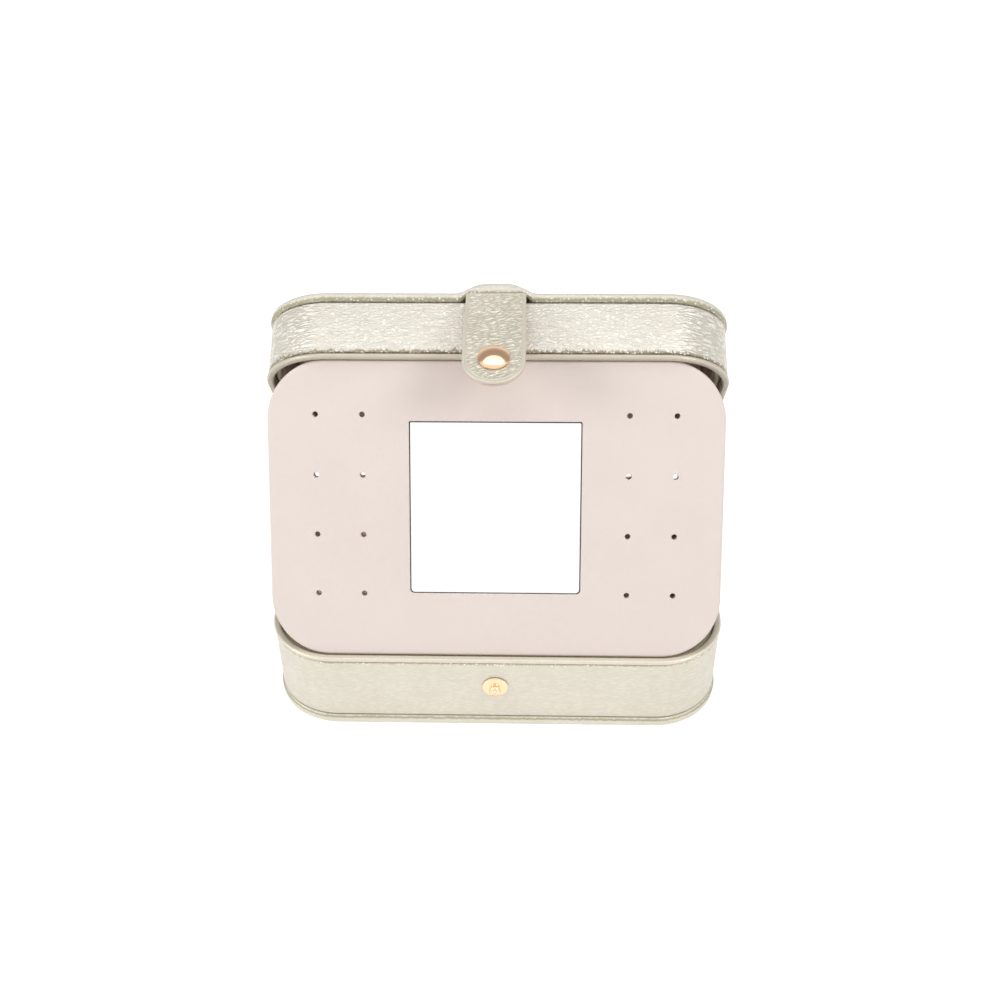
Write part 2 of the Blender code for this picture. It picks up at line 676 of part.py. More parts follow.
def make_strap(axis):
    outer_high = GAP / 2 + STRAP_LEATHER
    under_low = -GAP / 2 - STRAP_BACKING
    placed = STRAP_AXIS
    outer = new_piece("strap_outer", strap_layer(GAP / 2, outer_high), (CHAMPAGNE_DEEP, 0.6, 0.45), axis, placed)
    under = new_piece("strap_backing", strap_layer(-GAP / 2, under_low), (BLUSH, 0, 0.8), axis, placed)
    heading = strap_frame(SNAP_REACH)[2]
    snap_place = placed + strap_point(0, SNAP_REACH, 0)
    punch = rod(SHANK_RADIUS + SHANK_PLAY, under_low - OVERRUN, outer_high + OVERRUN)
    punch_cutter = cut(outer, punch, "strap_punch_cutter", snap_place, heading)
    share_cut(under, punch_cutter)
    make_snap_cap(axis, snap_place, heading, outer_high, under_low)
    make_snap_socket(axis, snap_place, heading, under_low)


def dome(radius, rise, low):
    """Profile of a shallow dome, from its crown down to its edge."""
    bend = (radius ** 2 + rise ** 2) / (2 * rise)
    points = []
    for step in range(DOME_STEPS + 1):
        across = radius * step / DOME_STEPS
        points.append((across, low + rise - bend + math.sqrt(bend ** 2 - across ** 2)))
    return points


def make_snap_cap(axis, place, heading, leather_top, leather_under):
    """Domed cap whose shank goes through the strap and is flared in the socket."""
    seat = leather_top + GAP
    web_under = leather_under - GAP - SOCKET_WEB
    flare_top = web_under - GAP
    profile = dome(CAP_RADIUS, CAP_RISE, seat + CAP_EDGE)
    profile += [
        (CAP_RADIUS, seat),
        (SHANK_RADIUS, seat),
        (SHANK_RADIUS, flare_top),
        (FLARE_RADIUS - SPRING_WIRE, flare_top),
        (FLARE_RADIUS - SPRING_WIRE, flare_top - FLARE),
        (0, flare_top - FLARE)]
    turned("snap_cap", profile, (ROSE_GOLD, 1, 0.15), axis, place, heading)


def make_snap_socket(axis, place, heading, leather_under):
    """Socket under the strap, with the groove that holds its ring spring."""
    top = leather_under - GAP
    low = top - SOCKET_HEIGHT
    web = top - SOCKET_WEB
    lip = low + SOCKET_MOUTH
    bore = SHANK_RADIUS + SHANK_PLAY
    profile = [
        (SOCKET_RADIUS - SOCKET_ROUND, top),
        (SOCKET_RADIUS, top - SOCKET_ROUND),
        (SOCKET_RADIUS, low + SOCKET_ROUND),
        (SOCKET_RADIUS - SOCKET_ROUND, low),
        (SOCKET_MOUTH_RADIUS, low),
        (SOCKET_MOUTH_RADIUS, lip),
        (SOCKET_GROOVE_RADIUS, lip),
        (SOCKET_GROOVE_RADIUS, web),
        (bore, web),
        (bore, top)]
    turned("snap_socket", profile, (ROSE_GOLD, 1, 0.2), axis, place, heading, ring=True)
    level = lip + GAP + SPRING_WIRE
    loops = []
    for step in range(TURN_STEPS + 1):
        turn = SPRING_GAP_ANGLE / 2 + (2 * math.pi - SPRING_GAP_ANGLE) * step / TURN_STEPS
        ring = []
        for side in range(2 * EDGE_STEPS):
            angle = math.pi * side / EDGE_STEPS
            radius = SPRING_RADIUS + SPRING_WIRE * math.cos(angle)
            ring.append(Vector((radius * math.cos(turn), radius * math.sin(turn), level + SPRING_WIRE * math.sin(angle))))
        loops.append(ring)
    new_piece("snap_spring", loft(loops), (SILVER, 1, 0.3), axis, place, heading)


def make_stud():
    """Stud on the front wall, and the post that holds it from inside the wall."""
    seat = GAP
    bore_top = seat + STUD_HEIGHT - STUD_CROWN
    head_low = seat + (STUD_SHOULDER + STUD_HEIGHT) / 2
    profile = [
        (0, seat + STUD_HEIGHT),
        (STUD_NECK_RADIUS / 2, seat + STUD_HEIGHT),
        (STUD_NECK_RADIUS, seat + STUD_HEIGHT - STUD_CROWN / 2),
        (STUD_HEAD_RADIUS, head_low + STUD_CROWN / 2),
        (STUD_HEAD_RADIUS, head_low),
        (STUD_NECK_RADIUS, head_low - STUD_CROWN / 2),
        (STUD_NECK_RADIUS, seat + STUD_SHOULDER),
        (STUD_HEAD_RADIUS + STUD_CROWN / 2, seat + STUD_SHOULDER),
        ((STUD_HEAD_RADIUS + STUD_RADIUS) / 2, seat + (STUD_DISC + STUD_SHOULDER) / 2),
        (STUD_RADIUS, seat + STUD_DISC),
        (STUD_RADIUS, seat),
        (STUD_BORE_RADIUS, seat),
        (STUD_BORE_RADIUS, bore_top),
        (0, bore_top)]
    turned("snap_stud", profile, (ROSE_GOLD, 1, 0.2), None, STUD_SEAT, math.pi / 2)
    disc_top = POST_CUT_DEPTH - WALL - GAP
    disc_low = disc_top - POST_DISC
    profile = [
        (0, bore_top - GAP),
        (POST_RADIUS, bore_top - GAP),
        (POST_RADIUS, disc_top),
        (POST_DISC_RADIUS, disc_top),
        (POST_DISC_RADIUS, disc_low),
        (0, disc_low)]
    turned("stud_post", profile, (SILVER, 1, 0.35), None, STUD_SEAT, math.pi / 2)


def make_strap_tail(axis):
    """The strap's fixed end, glued between the lid's wall and the plate that arches over it."""
    half = STRAP_ROOT_WIDTH / 2
    front = -BOX_DEPTH / 2 - PLATE_LIP
    low = (-half, front, LID_PLATE_Z)
    high = (half, front + PLATE_LIP + STRAP_TAIL, LID_PLATE_Z + STRAP_THICKNESS)
    new_piece("strap_tail", box(low, high, STRAP_EDGE_ROUND), (CHAMPAGNE_DEEP, 0.6, 0.45), axis)


clear_scene()
PARTS = new_collection("travel_jewelry_box")
CUTTERS = new_collection("cutters")
LID_OPENING, PANEL_TILT = strut_angles()

make_base_shell()
make_base_lining()
make_dividers()
make_ring_rolls()
make_stud()
make_hinge_leaf("hinge_strip_base", -1, None)

lid_axis = new_axis("lid_axis", HINGE, -LID_OPENING)
make_lid_shell(lid_axis)
make_lid_lining(lid_axis)
make_strap_tail(lid_axis)
make_hinge_leaf("hinge_strip_lid", 1, lid_axis)

panel_axis = new_axis("panel_axis", PANEL_FOOT, PANEL_TILT)
make_panel(panel_axis)

strap_axis = new_axis("strap_axis", STRAP_AXIS, 0, lid_axis)
make_strap(strap_axis)

bpy.context.view_layer.update()
for moving in (lid_axis, panel_axis, strap_axis):
    print(moving.name, [round(value, 6) for value in moving.matrix_world.translation])
print("lid opening", round(math.degrees(LID_OPENING), 4))
print("panel tilt", round(math.degrees(PANEL_TILT), 4))
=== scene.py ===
"""Looks of the travel jewelry box: pebbled champagne leather, blush panel, mirror, lining and rose gold.

Metres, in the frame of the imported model. The lid is shaped closed and the panel flat, and each is
then turned to the place where it rests.
"""
import math

import bmesh
import bpy
from mathutils import Matrix, Vector


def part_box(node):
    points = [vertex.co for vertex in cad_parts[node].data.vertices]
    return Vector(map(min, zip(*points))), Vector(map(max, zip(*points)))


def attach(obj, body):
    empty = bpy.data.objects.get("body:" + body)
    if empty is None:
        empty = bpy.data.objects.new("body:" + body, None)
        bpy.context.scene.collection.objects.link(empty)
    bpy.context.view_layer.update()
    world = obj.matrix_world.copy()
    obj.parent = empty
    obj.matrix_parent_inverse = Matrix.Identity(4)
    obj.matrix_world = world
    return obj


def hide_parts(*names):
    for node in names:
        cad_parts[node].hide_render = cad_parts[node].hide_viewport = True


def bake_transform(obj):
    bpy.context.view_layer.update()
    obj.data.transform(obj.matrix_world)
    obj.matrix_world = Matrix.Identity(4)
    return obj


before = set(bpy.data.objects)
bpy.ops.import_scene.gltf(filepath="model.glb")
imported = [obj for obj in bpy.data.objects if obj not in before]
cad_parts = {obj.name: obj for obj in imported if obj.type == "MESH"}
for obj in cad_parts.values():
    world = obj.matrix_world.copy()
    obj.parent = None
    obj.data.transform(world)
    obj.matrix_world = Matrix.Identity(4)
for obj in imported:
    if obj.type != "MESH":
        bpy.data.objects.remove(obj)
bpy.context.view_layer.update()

# Case
BOX_WIDTH = 0.1650
BOX_DEPTH = 0.1110
CORNER_RADIUS = 0.0240
BASE_HEIGHT = 0.0330
LID_HEIGHT = 0.0250
WALL = 0.0022
WALL_FOOT_ROUND = 0.0008
WALL_EDGE_ROUND = 0.0006
BASE_PLATE = 0.0037
LID_PLATE = 0.0034
PLATE_LIP = 0.0007
PLATE_ROUND = 0.0013
GAP = 0.0003
BINDING_HEIGHT = 0.0017
BINDING_PROUD = 0.0004
BINDING_ROUND = 0.0008
LINER = 0.0021
LINER_ROUND = 0.0010
LEDGE_DROP = 0.0015
LID_LEDGE_DROP = 0.0030
RIM_Z = BASE_HEIGHT + GAP
LID_TOP_Z = RIM_Z + LID_HEIGHT
LID_PLATE_Z = LID_TOP_Z - LID_PLATE
CEILING_Z = LID_PLATE_Z - GAP
LINER_INSET = WALL + GAP
LINING_INSET = LINER_INSET + LINER + GAP

# Resting places of the lid, the panel and the strap
LID_OPENING = math.radians(56.5938)
PANEL_TILT = math.radians(61.7031)
HINGE = Vector((0, 0.05675, 0.03315))
PANEL_FOOT = Vector((0, -0.0514, 0.033))
STRAP_ROOT = Vector((0, -0.0576, 0.05535))
STUD_SEAT = Vector((0, -0.0555, 0.0197))
LID_POSE = Matrix.Translation(HINGE) @ Matrix.Rotation(-LID_OPENING, 4, "X") @ Matrix.Translation(-HINGE)
PANEL_POSE = Matrix.Translation(PANEL_FOOT) @ Matrix.Rotation(PANEL_TILT, 4, "X")

# Arch of the lid's plate over the strap
ARCH_RISE = 0.0031
ARCH_FLAT = 0.0093
ARCH_SIDE_FALL = 0.0036
ARCH_TOP_FLAT = 0.0045
ARCH_TOP_FALL = 0.0100
ARCH_CROWN = 0.0006
ARCH_HANG = 0.0008
ARCH_OUT = 0.0003
ARCH_DEPTH = 0.0103
ARCH_BACK_FALL = 0.0120
ARCH_SIDE_CUTS = 16
ARCH_BACK_CUTS = 8

# Pads and ring rolls. A roll's roundings are shares of its width.
PAD_EDGE = 0.0005
PAD_EDGE_STEPS = 4
CEILING_PAD = 0.0014
CEILING_CROWN = 0.0008
CEILING_CROWN_STEPS = 4
CEILING_CROWN_RUN = 0.0035
RING_ROLLS = 7
ROLL_CROWN = 0.46
ROLL_END = 0.16
ROLL_FOOT = 0.0008
ROLL_SLICES = 12

# Panel
PANEL_WIDTH = 0.1592
PANEL_HEIGHT = 0.1052
PANEL_RADIUS = 0.0211
PANEL_BOARD = 0.0024
PANEL_HALF = PANEL_BOARD / 2
PANEL_MIDDLE = PANEL_HEIGHT / 2 - PANEL_HALF
PANEL_EDGE = PANEL_HALF * 0.97
WINDOW_WIDTH = 0.0602
WINDOW_HEIGHT = 0.0611
WINDOW_MIDDLE = PANEL_MIDDLE + 0.0008
WINDOW_LOWER_ROUND = 0.0014
WINDOW_UPPER_ROUND = 0.0005
WINDOW_ROLL = 0.00035
MIRROR_GLASS = 0.0012
MIRROR_EDGE = 0.00012
MIRROR_SUNK = 0.0004
HOLE_RADIUS = 0.0010
HOLE_ROLL = 0.00022
HOLE_SEGMENTS = 24
HOLE_COLUMNS = (-0.0627, -0.0464, 0.0464, 0.0627)
HOLE_ROWS = 4
HOLE_PITCH = 0.0212
HOLE_MIDDLE = PANEL_MIDDLE + 0.0018

# Strap
STRAP_ROOT_WIDTH = 0.0206
STRAP_TIP_WIDTH = 0.0210
STRAP_LENGTH = 0.04505
STRAP_TIP_RADIUS = 0.0101
STRAP_LEATHER = 0.0012
STRAP_LEATHER_EDGE = 0.00035
STRAP_LEATHER_START = -0.0012
STRAP_BACKING = 0.0010
STRAP_BACKING_EDGE = 0.0002
STRAP_BACKING_TRIM = 0.0003
STRAP_BORDER = 0.0005
BORDER_GROOVE = 0.0002
BORDER_GROOVE_DEPTH = 0.0001
BORDER_STEP = 0.0003
BORDER_STEP_RISE = 0.00014
STRAP_BEND_RADIUS = 0.0040
STRAP_ROOT_ANGLE = math.radians(15)
STRAP_BENT_ANGLE = math.radians(66.5)
STRAP_TIP_ANGLE = math.radians(72)
STRAP_BEND = STRAP_BENT_ANGLE - STRAP_ROOT_ANGLE
STRAP_BEND_LENGTH = STRAP_BEND_RADIUS * STRAP_BEND
STRAP_BEND_CUTS = 8
STRAP_CUTS = 30

# Snap. The stud's profile is (radius, height over the wall), from its dimple to its hollow.
SNAP_REACH = 0.03445
CAP_RADIUS = 0.0053
CAP_RISE = 0.0015
CAP_RIM = 0.0007
CAP_STEPS = 14
SHANK_RADIUS = 0.0016
SHANK_PAST = 0.0012
FLARE_RADIUS = 0.0021
FLARE_DEPTH = 0.0004
STUD_PROFILE = (
    (0, 0.0029), (0.0006, 0.0029), (0.0009, 0.0032), (0.0013, 0.0033), (0.0017, 0.0031), (0.00205, 0.0026),
    (0.0021, 0.0022), (0.0019, 0.0018), (0.0018, 0.0014), (0.002, 0.0012), (0.0026, 0.00112),
    (0.0032, 0.00095), (0.0040, 0.0007), (0.0044, 0.00062), (0.0046, 0.00045), (0.0046, 0.0003),
    (0.0013, 0.0003), (0.0013, 0.0026), (0, 0.0026))

# Hinge strip
STRIP_WIDTH = 0.0800
STRIP_LEATHER = 0.0011
STRIP_LEAF = 0.0138
STRIP_FOLD = 0.0030
STRIP_FOLD_CUTS = 7

# Smoothness
CORNER_STEPS = 22
TIP_STEPS = 14
TURN_STEPS = 64
MERGE = 0.000002
RIM_ANGLE = 1.2

# Seams, where the leather folds into a crease darkened with painted shade: their height, reach to both sides,
# strength of that painted shade and raggedness
BASE_SEAMS = (
    {"level": BASE_PLATE + GAP / 2 + 0.0002, "reach": 0.0005, "strength": 0.8, "ragged": 0.0006},
    {"level": BASE_HEIGHT - BINDING_HEIGHT - 0.0003, "reach": 0.0009, "strength": 0.75, "ragged": 0.0022})
LID_SEAMS = (
    {"level": RIM_Z + BINDING_HEIGHT + 0.0006, "reach": 0.0011, "strength": 0.9, "ragged": 0.0038},
    {"level": LID_PLATE_Z - 0.0002, "reach": 0.0008, "strength": 0.7, "ragged": 0.0010})
BASE_PLATE_SEAMS = ({"level": BASE_PLATE - 0.0006, "reach": 0.0006, "strength": 0.9, "ragged": 0.0009},)
LID_PLATE_SEAMS = ({"level": LID_PLATE_Z + 0.0006, "reach": 0.0011, "strength": 0.95, "ragged": 0.0015},)

# Long wrinkles round the lid's corners: where they begin and are full, and how they stretch
WRINKLES_ACROSS = (0.056, 0.070)
WRINKLES_ALONG = (0.026, 0.044)
WRINKLE_STRETCH = (0.33, 0.33, 1.3)

# Sizes of the small features in the materials
PORE = 0.0003
STREAK = 0.0014
PATCH = 0.012
TOOTH = 0.0012
# Size of the painted glints beside the seams.
SEAM_GLINT = 0.0012
NAP = 0.0002

# Camera of the photograph
CAMERA_DOWN = math.radians(37.468)
CAMERA_YAW = math.radians(-1.858)
CAMERA_ROLL = math.radians(-0.71)
CAMERA_TARGET = Vector((0.00112, -0.0105, 0.07025))
CAMERA_DISTANCE = 0.4306
CAMERA_LENS = 42.30
CAMERA_SENSOR = 36

# Lamps: name, place, size and watts. All of them point at the box.
LAMPS = (
    ("left_softbox", (-1.1, -0.55, 0.75), (0.5, 0.5), 5.4),
    ("right_softbox", (0.9, -0.65, 0.95), (0.5, 0.5), 4.9),
    ("overhead", (0, 0.0, 1.3), (1.6, 0.85), 4.3))
LAMP_TARGET = Vector((0, 0, 0.06))


def tint(red, green, blue):
    """A colour read as the screen shows it, made linear."""
    shares = [value / 255 for value in (red, green, blue)]
    return (*[share / 12.92 if share < 0.04045 else ((share + 0.055) / 1.055) ** 2.4 for share in shares], 1)


# Leathers and their creases. A crease tint is partly the leather's own darker tone and partly painted shade
# in the grooves.
SILVERY = tint(222, 218, 208)
SILVERY_CREASE = tint(176, 166, 146)
SATIN = tint(218, 213, 200)
SATIN_CREASE = tint(176, 167, 143)
LID_PLATE_TINT = tint(216, 211, 201)
BINDING_TINT = tint(222, 214, 198)
# The lid's binding is a darker copy of the base's binding: painted shade on the lid's bead.
LID_BINDING_SHADED_TINT = tint(200, 191, 176)
STRAP_TINT = tint(247, 241, 226)
STRAP_CREASE = tint(164, 155, 132)
STRAP_EDGE_TINT = tint(212, 205, 189)
HINGE_STRIP_TINT = tint(222, 214, 199)
# Olive and brown darken the folded seams with painted shade; olive also tints the plates' pebble creases.
OLIVE_SEAM_SHADE = tint(158, 153, 121)
BROWN_SEAM_SHADE = tint(138, 124, 100)
# GLINT is a painted highlight: white specks on some pebbles and beside the seams.
GLINT = tint(254, 254, 250)
# Painted highlight on the tops of the long wrinkles at the lid's corners.
RIDGE_HIGHLIGHT = tint(252, 249, 238)
# The turned-in leather is a darker copy of the champagne: painted shade inside the rim.
TURNED_IN_SHADED = tint(196, 184, 156)
TURNED_IN_SHADED_CREASE = tint(150, 136, 104)
BLUSH = tint(223, 211, 204)
BLUSH_PATCH = tint(219, 205, 197)

# Microfibres, brushed pale and dark
TAUPE = tint(168, 148, 138)
TAUPE_DARK = tint(140, 120, 110)
CREAM = tint(220, 206, 196)
CREAM_DARK = tint(200, 184, 172)
BLUSH_SUEDE = tint(222, 200, 188)
BLUSH_SUEDE_DARK = tint(196, 172, 160)

# Metals, glass, board and floor
ROSE_GOLD = tint(252, 212, 176)
STEEL = tint(205, 205, 203)
SILVERED = tint(254, 254, 254)
GLASS_EDGE = tint(92, 96, 104)
GLASS_EDGE_PALE = tint(128, 130, 136)
BOARD = tint(150, 144, 136)
BOARD_DARK = tint(122, 117, 110)
FLOOR = tint(250, 250, 250)
WHITE = (1, 1, 1, 1)


class Signal:
    """A value in a shader tree. Arithmetic on it adds Math nodes."""

    def __init__(self, finish, socket):
        self.finish = finish
        self.socket = socket

    def output(self, name):
        """Another output of the same node."""
        return Signal(self.finish, self.socket.node.outputs[name])

    def __add__(self, other):
        return self.finish.maths("ADD", self, other)

    def __sub__(self, other):
        return self.finish.maths("SUBTRACT", self, other)

    def __rsub__(self, other):
        return self.finish.maths("SUBTRACT", other, self)

    def __mul__(self, other):
        return self.finish.maths("MULTIPLY", self, other)

    __radd__ = __add__
    __rmul__ = __mul__


class Finish:
    """A shader tree under construction, of a material or of the world."""

    def __init__(self, owner):
        owner.use_nodes = True
        self.owner = owner
        self.tree = owner.node_tree

    def node(self, kind, settings, sockets, output=0):
        """Add a node: its settings first, then the values or links of its sockets."""
        node = self.tree.nodes.new(kind)
        for name, value in settings.items():
            setattr(node, name, value)
        for name, value in sockets.items():
            self.feed(node.inputs[name], value)
        return Signal(self, node.outputs[output])

    def feed(self, socket, value):
        if isinstance(value, Signal):
            self.tree.links.new(value.socket, socket)
        else:
            socket.default_value = value

    def maths(self, operation, *values):
        return self.node("ShaderNodeMath", {"operation": operation}, dict(enumerate(values)))

    def vectors(self, operation, sockets):
        return self.node("ShaderNodeVectorMath", {"operation": operation}, sockets)

    def place(self, lid_frame=False, stretch=(1, 1, 1), slant=0.0):
        """Object coordinates, stretched. In the lid's frame they are turned back to the closed lid first."""
        place = self.node("ShaderNodeTexCoord", {}, {}, "Object")
        if lid_frame:
            upright = Matrix.Rotation(slant, 4, "Y") @ LID_POSE.inverted()
            place = self.node("ShaderNodeMapping", {}, {
                "Vector": place, "Location": upright.translation, "Rotation": upright.to_euler()})
        return self.vectors("MULTIPLY", {0: place, 1: stretch})

    def part(self, vector, letter):
        """One of the three parts of a vector."""
        return self.node("ShaderNodeSeparateXYZ", {}, {0: vector}, letter)

    def axis(self, letter, lid_frame=False):
        """One of the three object coordinates."""
        return self.part(self.place(lid_frame), letter)

    def noise(self, place, size, detail=2.0, roughness=0.5):
        """Soft noise from 0 to 1, whose lumps have about that size."""
        return self.node("ShaderNodeTexNoise", {}, {
            "Vector": place, "Scale": 1 / size, "Detail": detail, "Roughness": roughness})

    def cells(self, place, size, randomness=0.9):
        """Distance from the creases between cells of about that size."""
        return self.node("ShaderNodeTexVoronoi", {"feature": "DISTANCE_TO_EDGE"}, {
            "Vector": place, "Scale": 1 / size, "Randomness": randomness})

    def specks(self, place, size, share):
        """Small specks on a share of scattered points."""
        spread = self.node("ShaderNodeTexVoronoi", {}, {"Vector": place, "Scale": 1 / size})
        chance = self.node("ShaderNodeSeparateColor", {}, {0: spread.output("Color")})
        return self.ramp(spread, 0.4, 0.15) * self.ramp(chance, 1 - share, 1 - 0.7 * share)

    def ramp(self, value, start, end, low=0.0, high=1.0):
        """A smooth change from low to high as the value goes from start to end."""
        return self.node("ShaderNodeMapRange", {"interpolation_type": "SMOOTHSTEP"}, {
            "Value": value, "From Min": start, "From Max": end, "To Min": low, "To Max": high})

    def near(self, value, centre, reach):
        """One at the centre, falling smoothly to nothing at that reach."""
        return self.ramp(self.maths("ABSOLUTE", value - centre), reach, 0.0)

    def blend(self, factor, first, second):
        """Mix two colours."""
        return self.node("ShaderNodeMix", {"data_type": "RGBA"}, {0: factor, 6: first, 7: second}, 2)

    def bump(self, height, depth, below=None):
        sockets = {"Height": height, "Distance": depth, "Strength": 1.0}
        if below:
            sockets["Normal"] = below
        return self.node("ShaderNodeBump", {}, sockets)

    def surface(self, **sockets):
        shader = self.tree.nodes["Principled BSDF"]
        for name, value in sockets.items():
            self.feed(shader.inputs[name.replace("_", " ")], value)
        return self.owner


def new_finish(name):
    return Finish(bpy.data.materials.new(name))


def grain(finish, place, size, wander=1.8):
    """Pebbled grain: how far each spot is from a crease, and the height that follows."""
    drift = finish.noise(place, 2 * size).output("Color")
    shift = finish.vectors("SUBTRACT", {0: drift, 1: (0.5, 0.5, 0.5)})
    shift = finish.vectors("SCALE", {0: shift, "Scale": wander * size})
    bent = finish.vectors("ADD", {0: place, 1: shift})
    pebbles = finish.ramp(finish.cells(bent, size), 0.0, 0.3)
    small = finish.ramp(finish.cells(bent, 0.4 * size), 0.0, 0.35)
    return pebbles, pebbles * 0.7 + small * 0.3


def seam_height(finish, lid_frame, arched):
    """Height of each spot. Under the lip it is lowered by as much as the lip lifts the seam."""
    level = finish.axis("Z", lid_frame)
    if not arched:
        return level
    side = finish.maths("ABSOLUTE", finish.axis("X", lid_frame))
    flat = ARCH_DEPTH - BOX_DEPTH / 2
    inward = finish.ramp(finish.axis("Y", lid_frame), flat + ARCH_BACK_FALL, flat)
    lift = finish.ramp(side, ARCH_FLAT + ARCH_SIDE_FALL, ARCH_FLAT, 0, ARCH_RISE - ARCH_HANG)
    return level - lift * inward


def make_leather(
        name, colour, crease, *, size, depth, seams=(), seam_shade=None, lid_frame=False, stretch=(1, 1, 1.5),
        slant=0.0, wander=1.8, crease_tone_and_shade=0.5, metal=0.45, sparkle=0.0, gathered=0.0, arched=False, seam_glints=0.0):
    """Pebbled metallic leather. Its creases are darker, partly its own tone and partly painted shade, and
    some pebbles carry painted glints.

    At each seam the leather folds into short teeth, darkened with painted shade and edged with painted
    glints; round the corners it folds into long wrinkles whose tops carry a painted highlight.
    """
    finish = new_finish(name)
    place = finish.place(lid_frame, stretch, slant)
    pebbles, height = grain(finish, place, size, wander)
    if gathered:
        across = finish.maths("ABSOLUTE", finish.axis("X", lid_frame))
        along = finish.maths("ABSOLUTE", finish.axis("Y", lid_frame))
        corner = finish.ramp(across, *WRINKLES_ACROSS) * finish.ramp(along, *WRINKLES_ALONG)
        long_pebbles, long_height = grain(finish, finish.place(lid_frame, WRINKLE_STRETCH), size)
        pebbles = pebbles * (1 - corner) + long_pebbles * corner
        height = height * (1 - corner) + long_height * (corner * gathered)
        crease_tone_and_shade = crease_tone_and_shade * (1 - corner) + corner * 0.4
        # Painted highlight on the tops of the long wrinkles round the corners.
        ridge_highlights = finish.ramp(long_height, 0.5, 0.9) * (corner * 0.45)
    patches = finish.ramp(finish.noise(finish.place(lid_frame), PATCH, 3.0), 0.3, 0.7)
    streaks = finish.noise(finish.place(lid_frame, (0.22, 0.22, 1.6)), STREAK, 2.0)
    # The grooves between pebbles darken towards the crease tint: partly the leather's own tone, partly
    # painted shade.
    grooves = (1 - pebbles) * crease_tone_and_shade + patches * 0.08 + finish.ramp(streaks, 0.55, 0.75, 0.0, 0.12)
    base = finish.blend(finish.maths("MINIMUM", grooves, 1.0), colour, crease)
    if sparkle:
        # Painted glints: white specks on a share of the pebbles.
        base = finish.blend(finish.specks(place, 0.7 * size, sparkle) * 0.75, base, GLINT)
    if gathered:
        base = finish.blend(ridge_highlights, base, RIDGE_HIGHLIGHT)
    if seams:
        level = seam_height(finish, lid_frame, arched)
        teeth = finish.noise(finish.place(lid_frame, (1, 1, 0.15)), TOOTH, 3.0)
        # Painted glints on the crinkled leather beside each seam.
        seam_glint = finish.specks(finish.place(lid_frame, (1, 1, 1.4)), SEAM_GLINT, 0.7) * seam_glints
        seam_shade_mask = 0.0
        bright = 0.0
        for seam in seams:
            jagged = level + (teeth - 0.5) * seam["ragged"]
            gather = finish.near(jagged, seam["level"], seam["reach"])
            height = height * (1 - gather * 0.6) - gather * 0.9
            seam_shade_mask = finish.maths("MAXIMUM", seam_shade_mask, gather * seam["strength"]) * (1 - seam_glint)
            around = finish.near(level, seam["level"], 2 * seam["reach"])
            bright = finish.maths("MAXIMUM", bright, around * seam_glint)
        # Painted shade in each seam's folded crease.
        base = finish.blend(seam_shade_mask, base, seam_shade or crease)
        # Painted highlight: glints beside the seams.
        base = finish.blend(bright, base, GLINT)
    bump = finish.bump(finish.noise(place, PORE, 2.0), 0.00002)
    bump = finish.bump(height, depth, bump)
    rough = finish.ramp(height, 0.1, 0.9, 0.5, 0.32)
    return finish.surface(Base_Color=base, Metallic=metal, Roughness=rough, Normal=bump)


def make_turn_in(name, ledge, depth, lid_frame=False):
    """Lining board: champagne leather, painted darker as shade inside the rim, is turned in over its edge,
    and microfibre covers it further in.
    """
    finish = new_finish(name)
    level = finish.axis("Z", lid_frame)
    inside = finish.ramp(level, ledge, ledge + depth)
    pebbles, height = grain(finish, finish.place(lid_frame), 0.0012)
    nap = finish.noise(finish.place(lid_frame), NAP, 3.0, 0.7)
    leather = finish.blend((1 - pebbles) * 0.4, TURNED_IN_SHADED, TURNED_IN_SHADED_CREASE)
    suede = finish.blend(finish.ramp(nap, 0.3, 0.7), TAUPE, TAUPE_DARK)
    base = finish.blend(inside, leather, suede)
    metal = finish.ramp(inside, 0.0, 1.0, 0.25, 0.0)
    rough = finish.ramp(inside, 0.0, 1.0, 0.5, 0.95)
    bump = finish.bump(height * (1 - inside) + nap * inside, 0.00006)
    return finish.surface(Base_Color=base, Metallic=metal, Roughness=rough, Normal=bump)


def make_blush():
    """Smooth blush leather with a faint fine grain."""
    finish = new_finish("blush_leather")
    place = finish.place()
    height = grain(finish, place, 0.0007)[1]
    patches = finish.ramp(finish.noise(place, 0.02, 3.0), 0.3, 0.7, 0.0, 0.3)
    base = finish.blend(patches, BLUSH, BLUSH_PATCH)
    return finish.surface(Base_Color=base, Roughness=0.52, Normal=finish.bump(height, 0.00003))


def make_suede(name, colour, dark):
    """Brushed microfibre: short nap with soft brushed patches."""
    finish = new_finish(name)
    nap = finish.noise(finish.place(), NAP, 3.0, 0.7)
    brushed = finish.noise(finish.place(False, (1, 0.5, 1)), 0.009, 4.0, 0.6)
    weight = finish.ramp(brushed, 0.35, 0.65) * 0.45 + finish.ramp(nap, 0.3, 0.7) * 0.35
    base = finish.blend(weight, colour, dark)
    bump = finish.bump(nap, 0.00012)
    return finish.surface(
        Base_Color=base, Roughness=0.95, Normal=bump, Sheen_Weight=0.35, Sheen_Roughness=0.4)


def make_metal(name, colour, rough):
    """Plated metal with faint polishing marks."""
    finish = new_finish(name)
    marks = finish.noise(finish.place(False, (1, 1, 6)), 0.0011, 4.0, 0.7)
    worn = [0.86 * value for value in colour[:3]] + [1]
    base = finish.blend(finish.ramp(marks, 0.3, 0.7, 0.0, 0.2), colour, worn)
    bump = finish.bump(marks, 0.000004)
    roughness = finish.ramp(marks, 0.3, 0.7, rough, rough + 0.06)
    return finish.surface(Base_Color=base, Metallic=1.0, Roughness=roughness, Normal=bump)


def make_mirror():
    """Silvered glass with the faintest dust."""
    finish = new_finish("mirror_silver")
    dust = finish.ramp(finish.noise(finish.place(), 0.004, 4.0), 0.4, 0.8, 0.012, 0.035)
    return finish.surface(Base_Color=SILVERED, Metallic=1.0, Roughness=dust)


